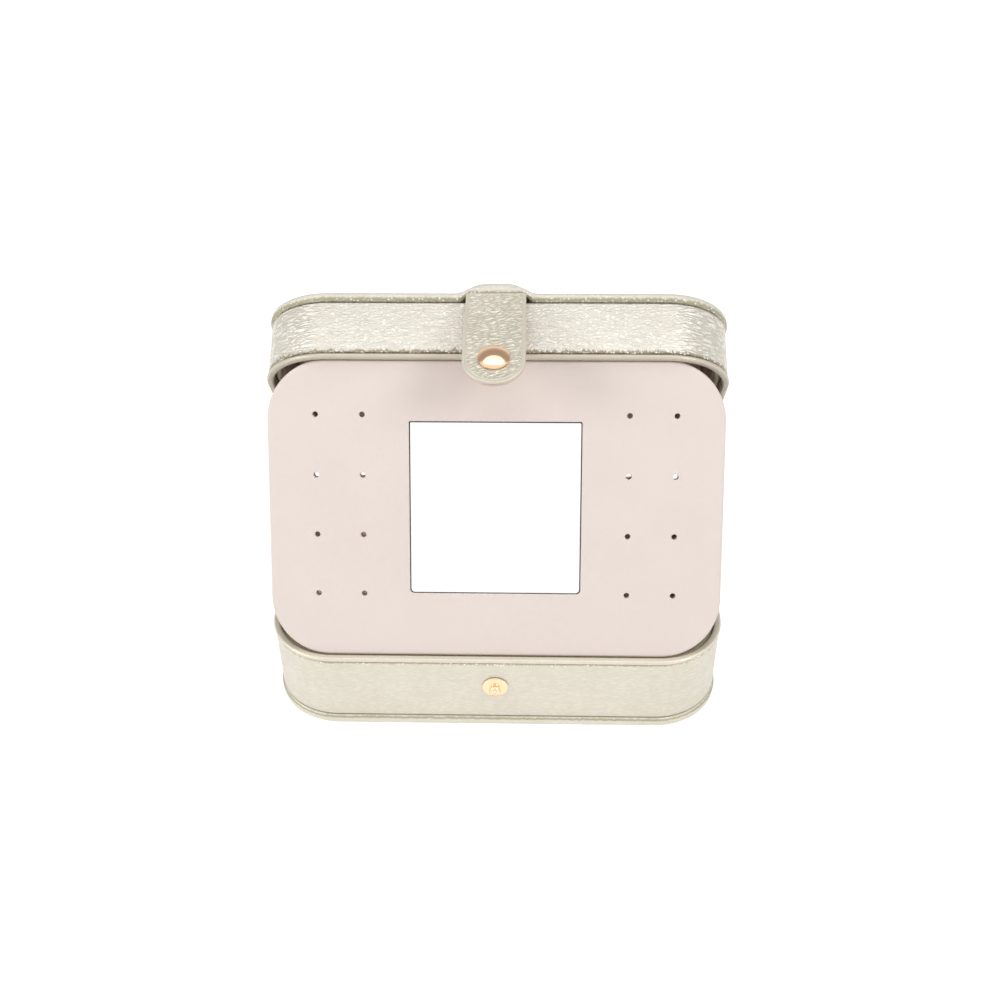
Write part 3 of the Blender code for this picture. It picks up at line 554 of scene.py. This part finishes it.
def make_glass_edge():
    """Ground and painted edge of the mirror glass."""
    finish = new_finish("mirror_edge")
    speck = finish.noise(finish.place(), 0.0006, 2.0)
    return finish.surface(Base_Color=finish.blend(speck, GLASS_EDGE, GLASS_EDGE_PALE), Roughness=0.5)


def make_board():
    """Bare grey board with its pressed fibres."""
    finish = new_finish("grey_board")
    fibres = finish.noise(finish.place(False, (1, 4, 1)), 0.0012, 4.0, 0.7)
    base = finish.blend(fibres, BOARD, BOARD_DARK)
    return finish.surface(Base_Color=base, Roughness=0.9, Normal=finish.bump(fibres, 0.00005))


def add_piece(name, bm, body, material, nodes=(), pose=None, sharp=35):
    """Finish a mesh as a piece of the object that rides on a body."""
    if pose:
        bmesh.ops.transform(bm, matrix=pose, verts=bm.verts)
    item = loose_object(name, bm)
    item.data.shade_smooth()
    item.data.set_sharp_from_angle(angle=math.radians(sharp))
    item.data.materials.append(material)
    if body:
        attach(item, body)
    if nodes:
        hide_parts(*nodes)
    return item


def loose_object(name, bm):
    """A mesh as an object in the scene."""
    mesh = bpy.data.meshes.new(name)
    bm.to_mesh(mesh)
    bm.free()
    item = bpy.data.objects.new(name, mesh)
    bpy.context.scene.collection.objects.link(item)
    return item


def weigh_normals(item):
    """Keep flat faces flat in the light, beside their rounded edges."""
    item.modifiers.new("weigh", "WEIGHTED_NORMAL").keep_sharp = True


def edges_of(geometry):
    return [item for item in geometry if isinstance(item, bmesh.types.BMEdge)]


def verts_of(geometry):
    return [item for item in geometry if isinstance(item, bmesh.types.BMVert)]


def even(edge, axis):
    """Whether both ends of an edge lie at the same place along an axis."""
    first, second = (getattr(vert.co, axis) for vert in edge.verts)
    return abs(first - second) < MERGE


def on_rim(edge):
    """Whether the faces beside an edge turn about as sharply as a cut rim does."""
    return edge.calc_face_angle(0) > RIM_ANGLE


def round_off(bm, geometry, radius, steps, affect="EDGES"):
    """Bevel edges or corners to a round."""
    return bmesh.ops.bevel(
        bm, geom=geometry, offset=radius, segments=steps, profile=0.5, affect=affect, material=-1)


def extend(bm, geometry, run):
    """Extrude a loop of edges straight on, and return its far end."""
    grown = bmesh.ops.extrude_edge_only(bm, edges=edges_of(geometry))["geom"]
    bmesh.ops.translate(bm, verts=verts_of(grown), vec=run)
    return verts_of(grown) + edges_of(grown)


def carried_round_case(section, steps):
    """A section of (inset, height, rounding) corners, carried once round the case and joined to itself."""
    bm = bmesh.new()
    verts = [bm.verts.new((0, BOX_DEPTH / 2 - inset, z)) for inset, z, rounding in section]
    bm.faces.new(verts)
    for vert, (inset, z, rounding) in zip(verts, section):
        if rounding:
            round_off(bm, [vert], rounding, steps, "VERTICES")
    bmesh.ops.delete(bm, geom=bm.faces[:], context="FACES_ONLY")
    half_width = BOX_WIDTH / 2 - CORNER_RADIUS
    half_depth = BOX_DEPTH / 2 - CORNER_RADIUS
    route = (
        ((-half_width, 0, 0), (-half_width, half_depth, 0)),
        ((0, -2 * half_depth, 0), (-half_width, -half_depth, 0)),
        ((2 * half_width, 0, 0), (half_width, -half_depth, 0)),
        ((0, 2 * half_depth, 0), (half_width, half_depth, 0)))
    far = bm.verts[:] + bm.edges[:]
    for run, centre in route:
        far = extend(bm, far, run)
        far = bmesh.ops.spin(
            bm, geom=far, cent=centre, axis=(0, 0, 1), angle=math.pi / 2, steps=CORNER_STEPS)["geom_last"]
    extend(bm, far, (-half_width, 0, 0))
    bmesh.ops.remove_doubles(bm, verts=bm.verts, dist=MERGE)
    bmesh.ops.recalc_face_normals(bm, faces=bm.faces)
    return bm


def add_ring(name, section, body, material, node, steps=6):
    """A piece that goes round the case. Those of the lid are turned to where the lid rests."""
    pose = LID_POSE if body == "lid" else None
    return add_piece(name, carried_round_case(section, steps), body, material, [node], pose)


def slab(width, depth, low, high, radius, edge, edge_steps=5, middle=0.0, back_radius=None):
    """A slab with rounded corners in plan and rounded edges."""
    bm = bmesh.new()
    centre = Matrix.Translation((0, middle, (low + high) / 2))
    bmesh.ops.create_cube(bm, size=1, matrix=centre @ Matrix.Diagonal((width, depth, high - low, 1)))
    upright = [e for e in bm.edges if not even(e, "z")]
    front = [e for e in upright if e.verts[0].co.y < middle]
    back = [e for e in upright if e.verts[0].co.y > middle]
    round_off(bm, front, radius, CORNER_STEPS)
    round_off(bm, back, radius if back_radius is None else back_radius, CORNER_STEPS)
    if edge:
        round_off(bm, [e for e in bm.edges if even(e, "z")], edge, edge_steps)
    bmesh.ops.recalc_face_normals(bm, faces=bm.faces)
    return bm


def case_slab(inset, low, high, edge, edge_steps=5):
    """A slab with the case's outline, drawn in by an inset."""
    return slab(
        BOX_WIDTH - 2 * inset, BOX_DEPTH - 2 * inset, low, high, CORNER_RADIUS - inset, edge, edge_steps)


def window_slab(play, low, high, edge=0.0):
    """The window's shape, drawn in by a play, between two heights."""
    return slab(
        WINDOW_WIDTH - 2 * play, WINDOW_HEIGHT - 2 * play, low, high, WINDOW_LOWER_ROUND, edge, 3,
        WINDOW_MIDDLE, WINDOW_UPPER_ROUND)


def slice_across(bm, axis, stations):
    """Cut new edges where planes across an axis pass, so that the mesh can bend there."""
    normal = Vector((axis == "X", axis == "Y", axis == "Z"))
    for station in stations:
        bmesh.ops.bisect_plane(
            bm, geom=bm.verts[:] + bm.edges[:] + bm.faces[:], plane_co=normal * station, plane_no=normal)


def smooth_fall(distance, flat, fall):
    """One up to a flat distance, then a smooth fall to nothing."""
    share = min(max((distance - flat) / fall, 0), 1)
    return 1 - share * share * (3 - 2 * share)


def make_base_case(leather, plate_leather, binding, turn_in):
    """Plate, wall, binding and lining board of the base."""
    bottom = case_slab(-PLATE_LIP, 0, BASE_PLATE, PLATE_ROUND)
    plate = add_piece(
        "base_plate_leather", bottom, "base", plate_leather, ["base_plate"])
    weigh_normals(plate)
    floor = BASE_PLATE + GAP
    foot = BASE_HEIGHT - BINDING_HEIGHT
    top = foot - GAP
    section = ((0, floor, WALL_FOOT_ROUND), (0, top, WALL_EDGE_ROUND), (WALL, top, 0), (WALL, floor, 0))
    add_ring("base_wall_leather", section, "base", leather, "base_wall", 4)
    section = (
        (-BINDING_PROUD, foot, BINDING_ROUND), (-BINDING_PROUD, BASE_HEIGHT, BINDING_ROUND),
        (WALL, BASE_HEIGHT, BINDING_ROUND), (WALL, foot, 0))
    add_ring("base_binding_leather", section, "base", binding, "base_rim_binding")
    inner = LINER_INSET + LINER
    ledge = BASE_HEIGHT - LEDGE_DROP
    section = (
        (LINER_INSET, floor, 0), (LINER_INSET, ledge, LINER_ROUND), (inner, ledge, LINER_ROUND),
        (inner, floor, 0))
    add_ring("base_lining_board", section, "base", turn_in, "base_liner")


def make_lid_case(leather, binding, turn_in):
    """Wall, binding and lining board of the lid."""
    bead = RIM_Z + BINDING_HEIGHT
    low = bead + GAP
    section = (
        (0, low, WALL_EDGE_ROUND), (0, CEILING_Z, WALL_EDGE_ROUND), (WALL, CEILING_Z, 0), (WALL, low, 0))
    add_ring("lid_wall_leather", section, "lid", leather, "lid_wall", 4)
    section = (
        (-BINDING_PROUD, RIM_Z, BINDING_ROUND), (-BINDING_PROUD, bead, BINDING_ROUND), (WALL, bead, 0),
        (WALL, RIM_Z, BINDING_ROUND))
    add_ring("lid_binding_leather", section, "lid", binding, "lid_rim_binding")
    inner = LINER_INSET + LINER
    ledge = RIM_Z + LID_LEDGE_DROP
    section = (
        (LINER_INSET, ledge, LINER_ROUND), (inner, ledge, LINER_ROUND), (inner, CEILING_Z, 0),
        (LINER_INSET, CEILING_Z, 0))
    add_ring("lid_lining_board", section, "lid", turn_in, "lid_liner")


def make_lid_plate(leather):
    """The lid's plate. Its front lip rises over the strap, with a crown, and hangs a little at the edge."""
    bm = case_slab(-PLATE_LIP, LID_PLATE_Z, LID_TOP_Z, PLATE_ROUND)
    reach = ARCH_TOP_FLAT + ARCH_TOP_FALL
    slice_across(bm, "X", [
        reach * (step / ARCH_SIDE_CUTS - 1) for step in range(2 * ARCH_SIDE_CUTS + 1)])
    back = -BOX_DEPTH / 2 + ARCH_DEPTH + ARCH_BACK_FALL
    slice_across(bm, "Y", [
        back - ARCH_BACK_FALL * step / ARCH_BACK_CUTS for step in range(ARCH_BACK_CUTS + 1)])
    for vert in bm.verts:
        inward = smooth_fall(vert.co.y + BOX_DEPTH / 2, ARCH_DEPTH, ARCH_BACK_FALL)
        lip = smooth_fall(vert.co.y + BOX_DEPTH / 2 + PLATE_LIP, PLATE_LIP, PLATE_LIP)
        side = smooth_fall(abs(vert.co.x), ARCH_FLAT, ARCH_SIDE_FALL)
        crown = max(1 - (vert.co.x / reach) ** 2, 0) ** 2
        over = ARCH_RISE * smooth_fall(abs(vert.co.x), ARCH_TOP_FLAT, ARCH_TOP_FALL) + ARCH_CROWN * crown
        under = (ARCH_RISE - ARCH_HANG * lip) * side
        share = (vert.co.z - LID_PLATE_Z) / LID_PLATE
        vert.co.z += (over * share + under * (1 - share)) * inward
        vert.co.y -= ARCH_OUT * side * lip
    plate = add_piece("lid_plate_leather", bm, "lid", leather, ["lid_plate"], LID_POSE)
    weigh_normals(plate)


def make_pads(floor_suede, ceiling_suede):
    """Floor pad of the base, and ceiling pad of the lid with a soft crown."""
    low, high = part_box("base_floor_pad")
    floor = case_slab(LINING_INSET, low.z, high.z, PAD_EDGE, PAD_EDGE_STEPS)
    pad = add_piece("base_floor_suede", floor, "base", floor_suede, ["base_floor_pad"])
    weigh_normals(pad)
    ceiling = case_slab(LINING_INSET, CEILING_Z - CEILING_PAD, CEILING_Z, PAD_EDGE, PAD_EDGE_STEPS)
    under = min(ceiling.faces, key=lambda face: face.calc_center_median().z)
    risen = 0.0
    for step in range(1, CEILING_CROWN_STEPS + 1):
        rise = CEILING_CROWN * math.sin(math.pi / 2 * step / CEILING_CROWN_STEPS)
        bmesh.ops.inset_region(
            ceiling, faces=[under], thickness=CEILING_CROWN_RUN, depth=rise - risen, use_even_offset=True)
        risen = rise
    pad = add_piece(
        "lid_ceiling_suede", ceiling, "lid", ceiling_suede, ["lid_ceiling_pad"], LID_POSE)


def make_ring_rolls(suede):
    """Padded rolls: round over the crown, drawn in at the ends and square on the floor."""
    for number in range(1, RING_ROLLS + 1):
        name = f"ring_roll_{number}"
        low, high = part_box(name)
        size = high - low
        bm = bmesh.new()
        centre = Matrix.Translation((low + high) / 2)
        bmesh.ops.create_cube(bm, size=1, matrix=centre @ Matrix.Diagonal((*size, 1)))
        crown = [e for e in bm.edges if even(e, "y") and min(v.co.z for v in e.verts) > high.z - MERGE]
        round_off(bm, crown, size.y * ROLL_CROWN, 8)
        ends = [e for e in bm.edges if even(e, "x") and max(v.co.z for v in e.verts) > low.z + MERGE]
        round_off(bm, ends, size.y * ROLL_END, 4)
        foot = [e for e in bm.edges if max(v.co.z for v in e.verts) < low.z + MERGE]
        round_off(bm, foot, ROLL_FOOT, 2)
        slice_across(bm, "X", [low.x + size.x * step / ROLL_SLICES for step in range(1, ROLL_SLICES)])
        roll = add_piece(f"{name}_suede", bm, "base", suede, [name])


def cut_with(item, cutters):
    """Cut other objects out of one for good, remove them all and return the mesh."""
    for cutter in cutters:
        modifier = item.modifiers.new("cut", "BOOLEAN")
        modifier.object = cutter
        modifier.solver = "EXACT"
    graph = bpy.context.evaluated_depsgraph_get()
    bm = bmesh.new()
    bm.from_mesh(item.evaluated_get(graph).to_mesh())
    for thing in (item, *cutters):
        bpy.data.objects.remove(thing)
    return bm


def make_panel(blush, mirror, glass_edge):
    """Blush board with its window, mirror and earring holes."""
    board = slab(
        PANEL_WIDTH, PANEL_HEIGHT, -PANEL_HALF, PANEL_HALF, PANEL_RADIUS, PANEL_EDGE, 8, PANEL_MIDDLE)
    window = window_slab(0, -PANEL_BOARD, PANEL_BOARD)
    drills = bmesh.new()
    for column in HOLE_COLUMNS:
        for row in range(HOLE_ROWS):
            spot = Matrix.Translation((column, HOLE_MIDDLE + HOLE_PITCH * (row - (HOLE_ROWS - 1) / 2), 0))
            bmesh.ops.create_cone(
                drills, cap_ends=True, segments=HOLE_SEGMENTS, radius1=HOLE_RADIUS, radius2=HOLE_RADIUS,
                depth=2 * PANEL_BOARD, matrix=spot)
    cutters = [loose_object("window", window), loose_object("drills", drills)]
    bm = cut_with(loose_object("board", board), cutters)
    beside_window = HOLE_COLUMNS[2] - 2 * HOLE_RADIUS
    for of_window, roll, steps in ((True, WINDOW_ROLL, 5), (False, HOLE_ROLL, 4)):
        rims = [e for e in bm.edges if on_rim(e) and e.verts[0].co.z > 0 and e.verts[1].co.z > 0 and
                (abs(e.verts[0].co.x) < beside_window) == of_window]
        round_off(bm, rims, roll, steps)
    panel = add_piece("panel_blush_board", bm, "panel", blush, ["panel_board"], PANEL_POSE)
    weigh_normals(panel)
    front = PANEL_HALF - MIRROR_SUNK
    glass = window_slab(GAP, front - MIRROR_GLASS, front, MIRROR_EDGE)
    pane = add_piece("mirror_pane", glass, "panel", mirror, ["mirror_glass"], PANEL_POSE)
    pane.data.materials.append(glass_edge)
    outward = PANEL_POSE.to_3x3() @ Vector((0, 0, 1))
    for face in pane.data.polygons:
        face.material_index = int(face.normal.dot(outward) < 0.999)


def strap_frame(reach):
    """Place (out, down) and heading below level of the strap's middle line, a reach from its root."""
    set_radius = (STRAP_LENGTH - STRAP_BEND_LENGTH) / (STRAP_TIP_ANGLE - STRAP_BENT_ANGLE)
    first = STRAP_ROOT_ANGLE + min(reach, STRAP_BEND_LENGTH) / STRAP_BEND_RADIUS
    out = STRAP_BEND_RADIUS * (math.sin(first) - math.sin(STRAP_ROOT_ANGLE))
    down = STRAP_BEND_RADIUS * (math.cos(STRAP_ROOT_ANGLE) - math.cos(first))
    heading = first + max(reach - STRAP_BEND_LENGTH, 0) / set_radius
    out += set_radius * (math.sin(heading) - math.sin(first))
    down += set_radius * (math.cos(first) - math.cos(heading))
    return out, down, heading


def bend_strap(bm):
    """Slice a flat strap, made along Y from its root, and bend it to its set curve."""
    rest = STRAP_LENGTH - STRAP_BEND_LENGTH
    slice_across(bm, "Y", [STRAP_BEND_LENGTH * step / STRAP_BEND_CUTS for step in range(STRAP_BEND_CUTS)])
    slice_across(bm, "Y", [STRAP_BEND_LENGTH + rest * step / STRAP_CUTS for step in range(STRAP_CUTS)])
    for vert in bm.verts:
        out, down, heading = strap_frame(vert.co.y)
        height = vert.co.z
        vert.co.y = -out - height * math.sin(heading)
        vert.co.z = height * math.cos(heading) - down
    bmesh.ops.recalc_face_normals(bm, faces=bm.faces)


def strap_blank(low, high, trim, edge, start):
    """A flat layer of the strap, wider at its round tip."""
    bm = bmesh.new()
    root = STRAP_ROOT_WIDTH / 2 - trim
    tip = STRAP_TIP_WIDTH / 2 - trim
    end = STRAP_LENGTH - trim
    corners = ((-root, start), (root, start), (tip, end), (-tip, end))
    verts = [bm.verts.new((x, y, low)) for x, y in corners]
    bm.faces.new(verts)
    round_off(bm, verts[2:], STRAP_TIP_RADIUS, TIP_STEPS, "VERTICES")
    grown = bmesh.ops.extrude_face_region(bm, geom=bm.faces[:])["geom"]
    bmesh.ops.translate(bm, verts=verts_of(grown), vec=(0, 0, high - low))
    bmesh.ops.recalc_face_normals(bm, faces=bm.faces)
    round_off(bm, [e for e in bm.edges if even(e, "z") and on_rim(e)], edge, 3)
    return bm


def make_strap(leather, edge_leather, suede):
    """Strap of two leathers, with a pressed border round its pebbled middle."""
    pose = LID_POSE @ Matrix.Translation(STRAP_ROOT)
    low = GAP / 2
    bm = strap_blank(low, low + STRAP_LEATHER, 0, STRAP_LEATHER_EDGE, STRAP_LEATHER_START)
    top = max(bm.faces, key=lambda face: face.calc_center_median().z)
    insets = ((STRAP_BORDER, 0), (BORDER_GROOVE, -BORDER_GROOVE_DEPTH), (BORDER_STEP, BORDER_STEP_RISE))
    for run, rise in insets:
        bmesh.ops.inset_region(bm, faces=[top], thickness=run, depth=rise, use_even_offset=True)
    for face in bm.faces:
        face.material_index = int(face is not top)
    bend_strap(bm)
    strap = add_piece("strap_leather", bm, "strap", leather, ["strap_outer"], pose, 50)
    strap.data.materials.append(edge_leather)
    bm = strap_blank(-low - STRAP_BACKING, -low, STRAP_BACKING_TRIM, STRAP_BACKING_EDGE, 0.0)
    bend_strap(bm)
    add_piece("strap_lining", bm, "strap", suede, ["strap_backing"], pose, 50)


def turned(profile):
    """A profile of (radius, height) from axis to axis, spun to a closed round piece."""
    bm = bmesh.new()
    verts = [bm.verts.new((radius, 0, height)) for radius, height in profile]
    edges = [bm.edges.new(pair) for pair in zip(verts, verts[1:])]
    bmesh.ops.spin(
        bm, geom=verts + edges, cent=(0, 0, 0), axis=(0, 0, 1), angle=2 * math.pi, steps=TURN_STEPS,
        use_merge=True)
    bmesh.ops.remove_doubles(bm, verts=bm.verts, dist=MERGE)
    bmesh.ops.recalc_face_normals(bm, faces=bm.faces)
    return bm


def make_cap(rose_gold):
    """Domed snap cap: its rim presses into the strap, and its shank goes through and flares."""
    face = GAP / 2 + STRAP_LEATHER
    crest = face + CAP_RIM + CAP_RISE
    dome_radius = (CAP_RADIUS ** 2 + CAP_RISE ** 2) / (2 * CAP_RISE)
    profile = [(0.0, crest)]
    for step in range(1, CAP_STEPS + 1):
        across = CAP_RADIUS * step / CAP_STEPS
        profile.append((across, crest - dome_radius + math.sqrt(dome_radius ** 2 - across ** 2)))
    seat = face - 0.0001
    flare = -GAP / 2 - STRAP_BACKING - SHANK_PAST
    profile += [
        (CAP_RADIUS + 0.00008, face + 0.0005), (CAP_RADIUS, face + 0.00012), (CAP_RADIUS - 0.0003, seat),
        (SHANK_RADIUS, seat), (SHANK_RADIUS, flare), (FLARE_RADIUS, flare),
        (FLARE_RADIUS, flare - FLARE_DEPTH), (0.0, flare - FLARE_DEPTH)]
    out, down, heading = strap_frame(SNAP_REACH)
    place = Matrix.Translation((0, -out, -down)) @ Matrix.Rotation(heading, 4, "X")
    pose = LID_POSE @ Matrix.Translation(STRAP_ROOT) @ place
    add_piece("snap_cap_dome", turned(profile), "strap", rose_gold, ["snap_cap"], pose)


def make_stud(rose_gold):
    """Snap stud: a pressed flange with a waisted, dimpled head."""
    seat = Matrix.Translation(STUD_SEAT) @ Matrix.Rotation(math.pi / 2, 4, "X")
    add_piece("snap_stud_turned", turned(STUD_PROFILE), "base", rose_gold, ["snap_stud"], seat)


def make_hinge_strip(leather):
    """One strip of leather over the back, glued to both halves and folded between them."""
    wall = BOX_DEPTH / 2 + GAP
    bead = wall + BINDING_PROUD
    height = HINGE.z - (BASE_HEIGHT - BINDING_HEIGHT)
    leaf = ((wall, STRIP_LEAF), (wall, height + 2 * BINDING_PROUD), (bead, height), (bead, STRIP_FOLD / 2))
    base_side = [Vector((0, y, HINGE.z - drop)) for y, drop in leaf]
    lid_side = [LID_POSE @ Vector((0, y, HINGE.z + rise)) for y, rise in reversed(leaf)]
    bm = bmesh.new()
    verts = [bm.verts.new(point) for point in base_side + lid_side]
    edges = [bm.edges.new(pair) for pair in zip(verts, verts[1:])]
    bmesh.ops.subdivide_edges(bm, edges=[edges[len(leaf) - 1]], cuts=STRIP_FOLD_CUTS)
    geometry = bm.verts[:] + bm.edges[:]
    bmesh.ops.translate(bm, verts=bm.verts, vec=(-STRIP_WIDTH / 2, 0, 0))
    extend(bm, geometry, (STRIP_WIDTH, 0, 0))
    bmesh.ops.solidify(bm, geom=bm.faces[:], thickness=STRIP_LEATHER)
    bmesh.ops.recalc_face_normals(bm, faces=bm.faces)
    strip = add_piece(
        "hinge_strip_leather", bm, None, leather, ["hinge_strip_base", "hinge_strip_lid"])
    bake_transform(strip)


def dress_carried(finishes):
    """Give the nodes that are shown as they were packed their materials."""
    for node, material in finishes.items():
        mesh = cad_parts[node].data
        mesh.materials.clear()
        mesh.materials.append(material)


def make_stage():
    """Pale floor that stays white to the camera and keeps the object's shadow."""
    bm = bmesh.new()
    bmesh.ops.create_grid(bm, x_segments=1, y_segments=1, size=4)
    floor = loose_object("floor", bm)
    finish = new_finish("pale_floor")
    camera_ray = finish.node("ShaderNodeLightPath", {}, {}, "Is Camera Ray")
    seen = finish.maths("MAXIMUM", camera_ray, camera_ray.output("Is Glossy Ray"))
    floor.data.materials.append(finish.surface(
        Base_Color=FLOOR, Roughness=0.9, Emission_Color=WHITE, Emission_Strength=seen * 0.3))


def make_light():
    """A white room with two soft lamps over the front corners and one overhead.

    Reflections see the room darker behind the box and overhead, as polished metal shows it in the photograph.
    """
    scene = bpy.context.scene
    world = bpy.data.worlds.new("white_room")
    scene.world = world
    room = Finish(world)
    camera_ray = room.node("ShaderNodeLightPath", {}, {}, "Is Camera Ray")
    glossy_ray = camera_ray.output("Is Glossy Ray")
    seen = room.maths("MAXIMUM", camera_ray, glossy_ray)
    seen = room.maths("MAXIMUM", seen, camera_ray.output("Is Transmission Ray"))
    heading = room.node("ShaderNodeTexCoord", {}, {}, "Generated")
    behind = room.ramp(room.part(heading, "Y"), 0.03, 0.2)
    above = room.ramp(room.part(heading, "Z"), 0.3, 0.65, 0.25)
    middle = room.ramp(room.maths("ABSOLUTE", room.part(heading, "X")), 0.9, 0.7)
    mirrored = 1.06 - behind * above * middle * 0.65
    lit = seen * 0.4 + 0.6
    background = world.node_tree.nodes["Background"]
    room.feed(background.inputs["Color"], WHITE)
    room.feed(background.inputs["Strength"], lit * (1 - glossy_ray) + mirrored * glossy_ray)
    for name, place, size, watts in LAMPS:
        lamp = bpy.data.lights.new(name, "AREA")
        lamp.shape = "ELLIPSE"
        lamp.size, lamp.size_y = size
        lamp.energy = watts
        item = bpy.data.objects.new(name, lamp)
        scene.collection.objects.link(item)
        item.location = place
        item.rotation_euler = (LAMP_TARGET - Vector(place)).to_track_quat("-Z", "Y").to_euler()


def make_camera():
    """The photograph's camera: above the front, a little turned and rolled."""
    look = Vector((
        math.cos(CAMERA_DOWN) * math.sin(CAMERA_YAW), math.cos(CAMERA_DOWN) * math.cos(CAMERA_YAW),
        -math.sin(CAMERA_DOWN)))
    level = Vector((math.cos(CAMERA_YAW), -math.sin(CAMERA_YAW), 0))
    up = level.cross(look)
    right = level * math.cos(CAMERA_ROLL) + up * math.sin(CAMERA_ROLL)
    up = up * math.cos(CAMERA_ROLL) - level * math.sin(CAMERA_ROLL)
    turn = Matrix((right, up, -look)).transposed().to_4x4()
    camera = bpy.data.objects.new("camera", bpy.data.cameras.new("camera"))
    bpy.context.scene.collection.objects.link(camera)
    camera.matrix_world = Matrix.Translation(CAMERA_TARGET - look * CAMERA_DISTANCE) @ turn
    camera.data.lens = CAMERA_LENS
    camera.data.sensor_width = CAMERA_SENSOR
    camera.data.clip_start = 0.01
    bpy.context.scene.camera = camera


bpy.context.scene.view_settings.view_transform = "Standard"

base_leather = make_leather(
    "base_champagne", SATIN, SATIN_CREASE, size=0.0016, depth=0.00003, seams=BASE_SEAMS,
    stretch=(0.4, 0.4, 1.5), crease_tone_and_shade=0.14, seam_glints=0.9)
base_plate_leather = make_leather(
    "base_plate_champagne", SATIN, OLIVE_SEAM_SHADE, size=0.0016, depth=0.00003, seams=BASE_PLATE_SEAMS, crease_tone_and_shade=0.06)
base_binding = make_leather(
    "binding_champagne", BINDING_TINT, SATIN_CREASE, size=0.0016, depth=0.00002, crease_tone_and_shade=0.1)
lid_leather = make_leather(
    "lid_champagne", SILVERY, SILVERY_CREASE, size=0.0017, depth=0.00014, seams=LID_SEAMS, seam_shade=BROWN_SEAM_SHADE,
    lid_frame=True, stretch=(0.8, 1, 1.6), crease_tone_and_shade=0.16, sparkle=0.25, gathered=2.2, seam_glints=0.7)
lid_plate_leather = make_leather(
    "lid_plate_champagne", LID_PLATE_TINT, OLIVE_SEAM_SHADE, size=0.0019, depth=0.0001, seams=LID_PLATE_SEAMS,
    lid_frame=True, crease_tone_and_shade=0.1, metal=0.3, arched=True, seam_glints=0.6)
# A darker copy of the binding leather: painted shade on the lid's bead.
lid_binding_shaded = make_leather(
    "lid_binding_champagne_shaded", LID_BINDING_SHADED_TINT, SATIN_CREASE, size=0.0016, depth=0.00002, lid_frame=True,
    crease_tone_and_shade=0.1)
strap_leather = make_leather(
    "strap_champagne", STRAP_TINT, STRAP_CREASE, size=0.0012, depth=0.00045, lid_frame=True,
    stretch=(0.36, 0.9, 1.25), slant=math.radians(18), wander=1.2, crease_tone_and_shade=0.55, metal=0.3, sparkle=0.2)
strap_edge_leather = make_leather(
    "strap_edge_champagne", STRAP_EDGE_TINT, SATIN_CREASE, size=0.0016, depth=0.00002, lid_frame=True,
    crease_tone_and_shade=0.08, metal=0.3)
hinge_leather = make_leather(
    "hinge_strip_champagne", HINGE_STRIP_TINT, SATIN_CREASE, size=0.0016, depth=0.0001, crease_tone_and_shade=0.25)
base_turn_in = make_turn_in("base_turn_in", BASE_HEIGHT - 0.006, -0.002)
lid_turn_in = make_turn_in("lid_turn_in", RIM_Z + 0.007, 0.002, True)
taupe_lining = make_suede("taupe_lining", TAUPE, TAUPE_DARK)
cream_lining = make_suede("cream_lining", CREAM, CREAM_DARK)
blush_suede = make_suede("blush_suede", BLUSH_SUEDE, BLUSH_SUEDE_DARK)
rose_gold = make_metal("rose_gold_plate", ROSE_GOLD, 0.1)
steel = make_metal("bright_steel", STEEL, 0.22)

make_base_case(base_leather, base_plate_leather, base_binding, base_turn_in)
make_lid_case(lid_leather, lid_binding_shaded, lid_turn_in)
make_lid_plate(lid_plate_leather)
make_pads(taupe_lining, cream_lining)
make_ring_rolls(blush_suede)
make_panel(make_blush(), make_mirror(), make_glass_edge())
make_strap(strap_leather, strap_edge_leather, blush_suede)
make_cap(rose_gold)
make_stud(rose_gold)
make_hinge_strip(hinge_leather)
dress_carried({
    "divider_main": taupe_lining, "divider_cross": taupe_lining, "divider_short": taupe_lining,
    "panel_backing": taupe_lining, "mirror_pad": make_board(), "snap_socket": rose_gold,
    "snap_spring": steel, "stud_post": steel, "strap_tail": strap_leather})

make_stage()
make_light()
make_camera()
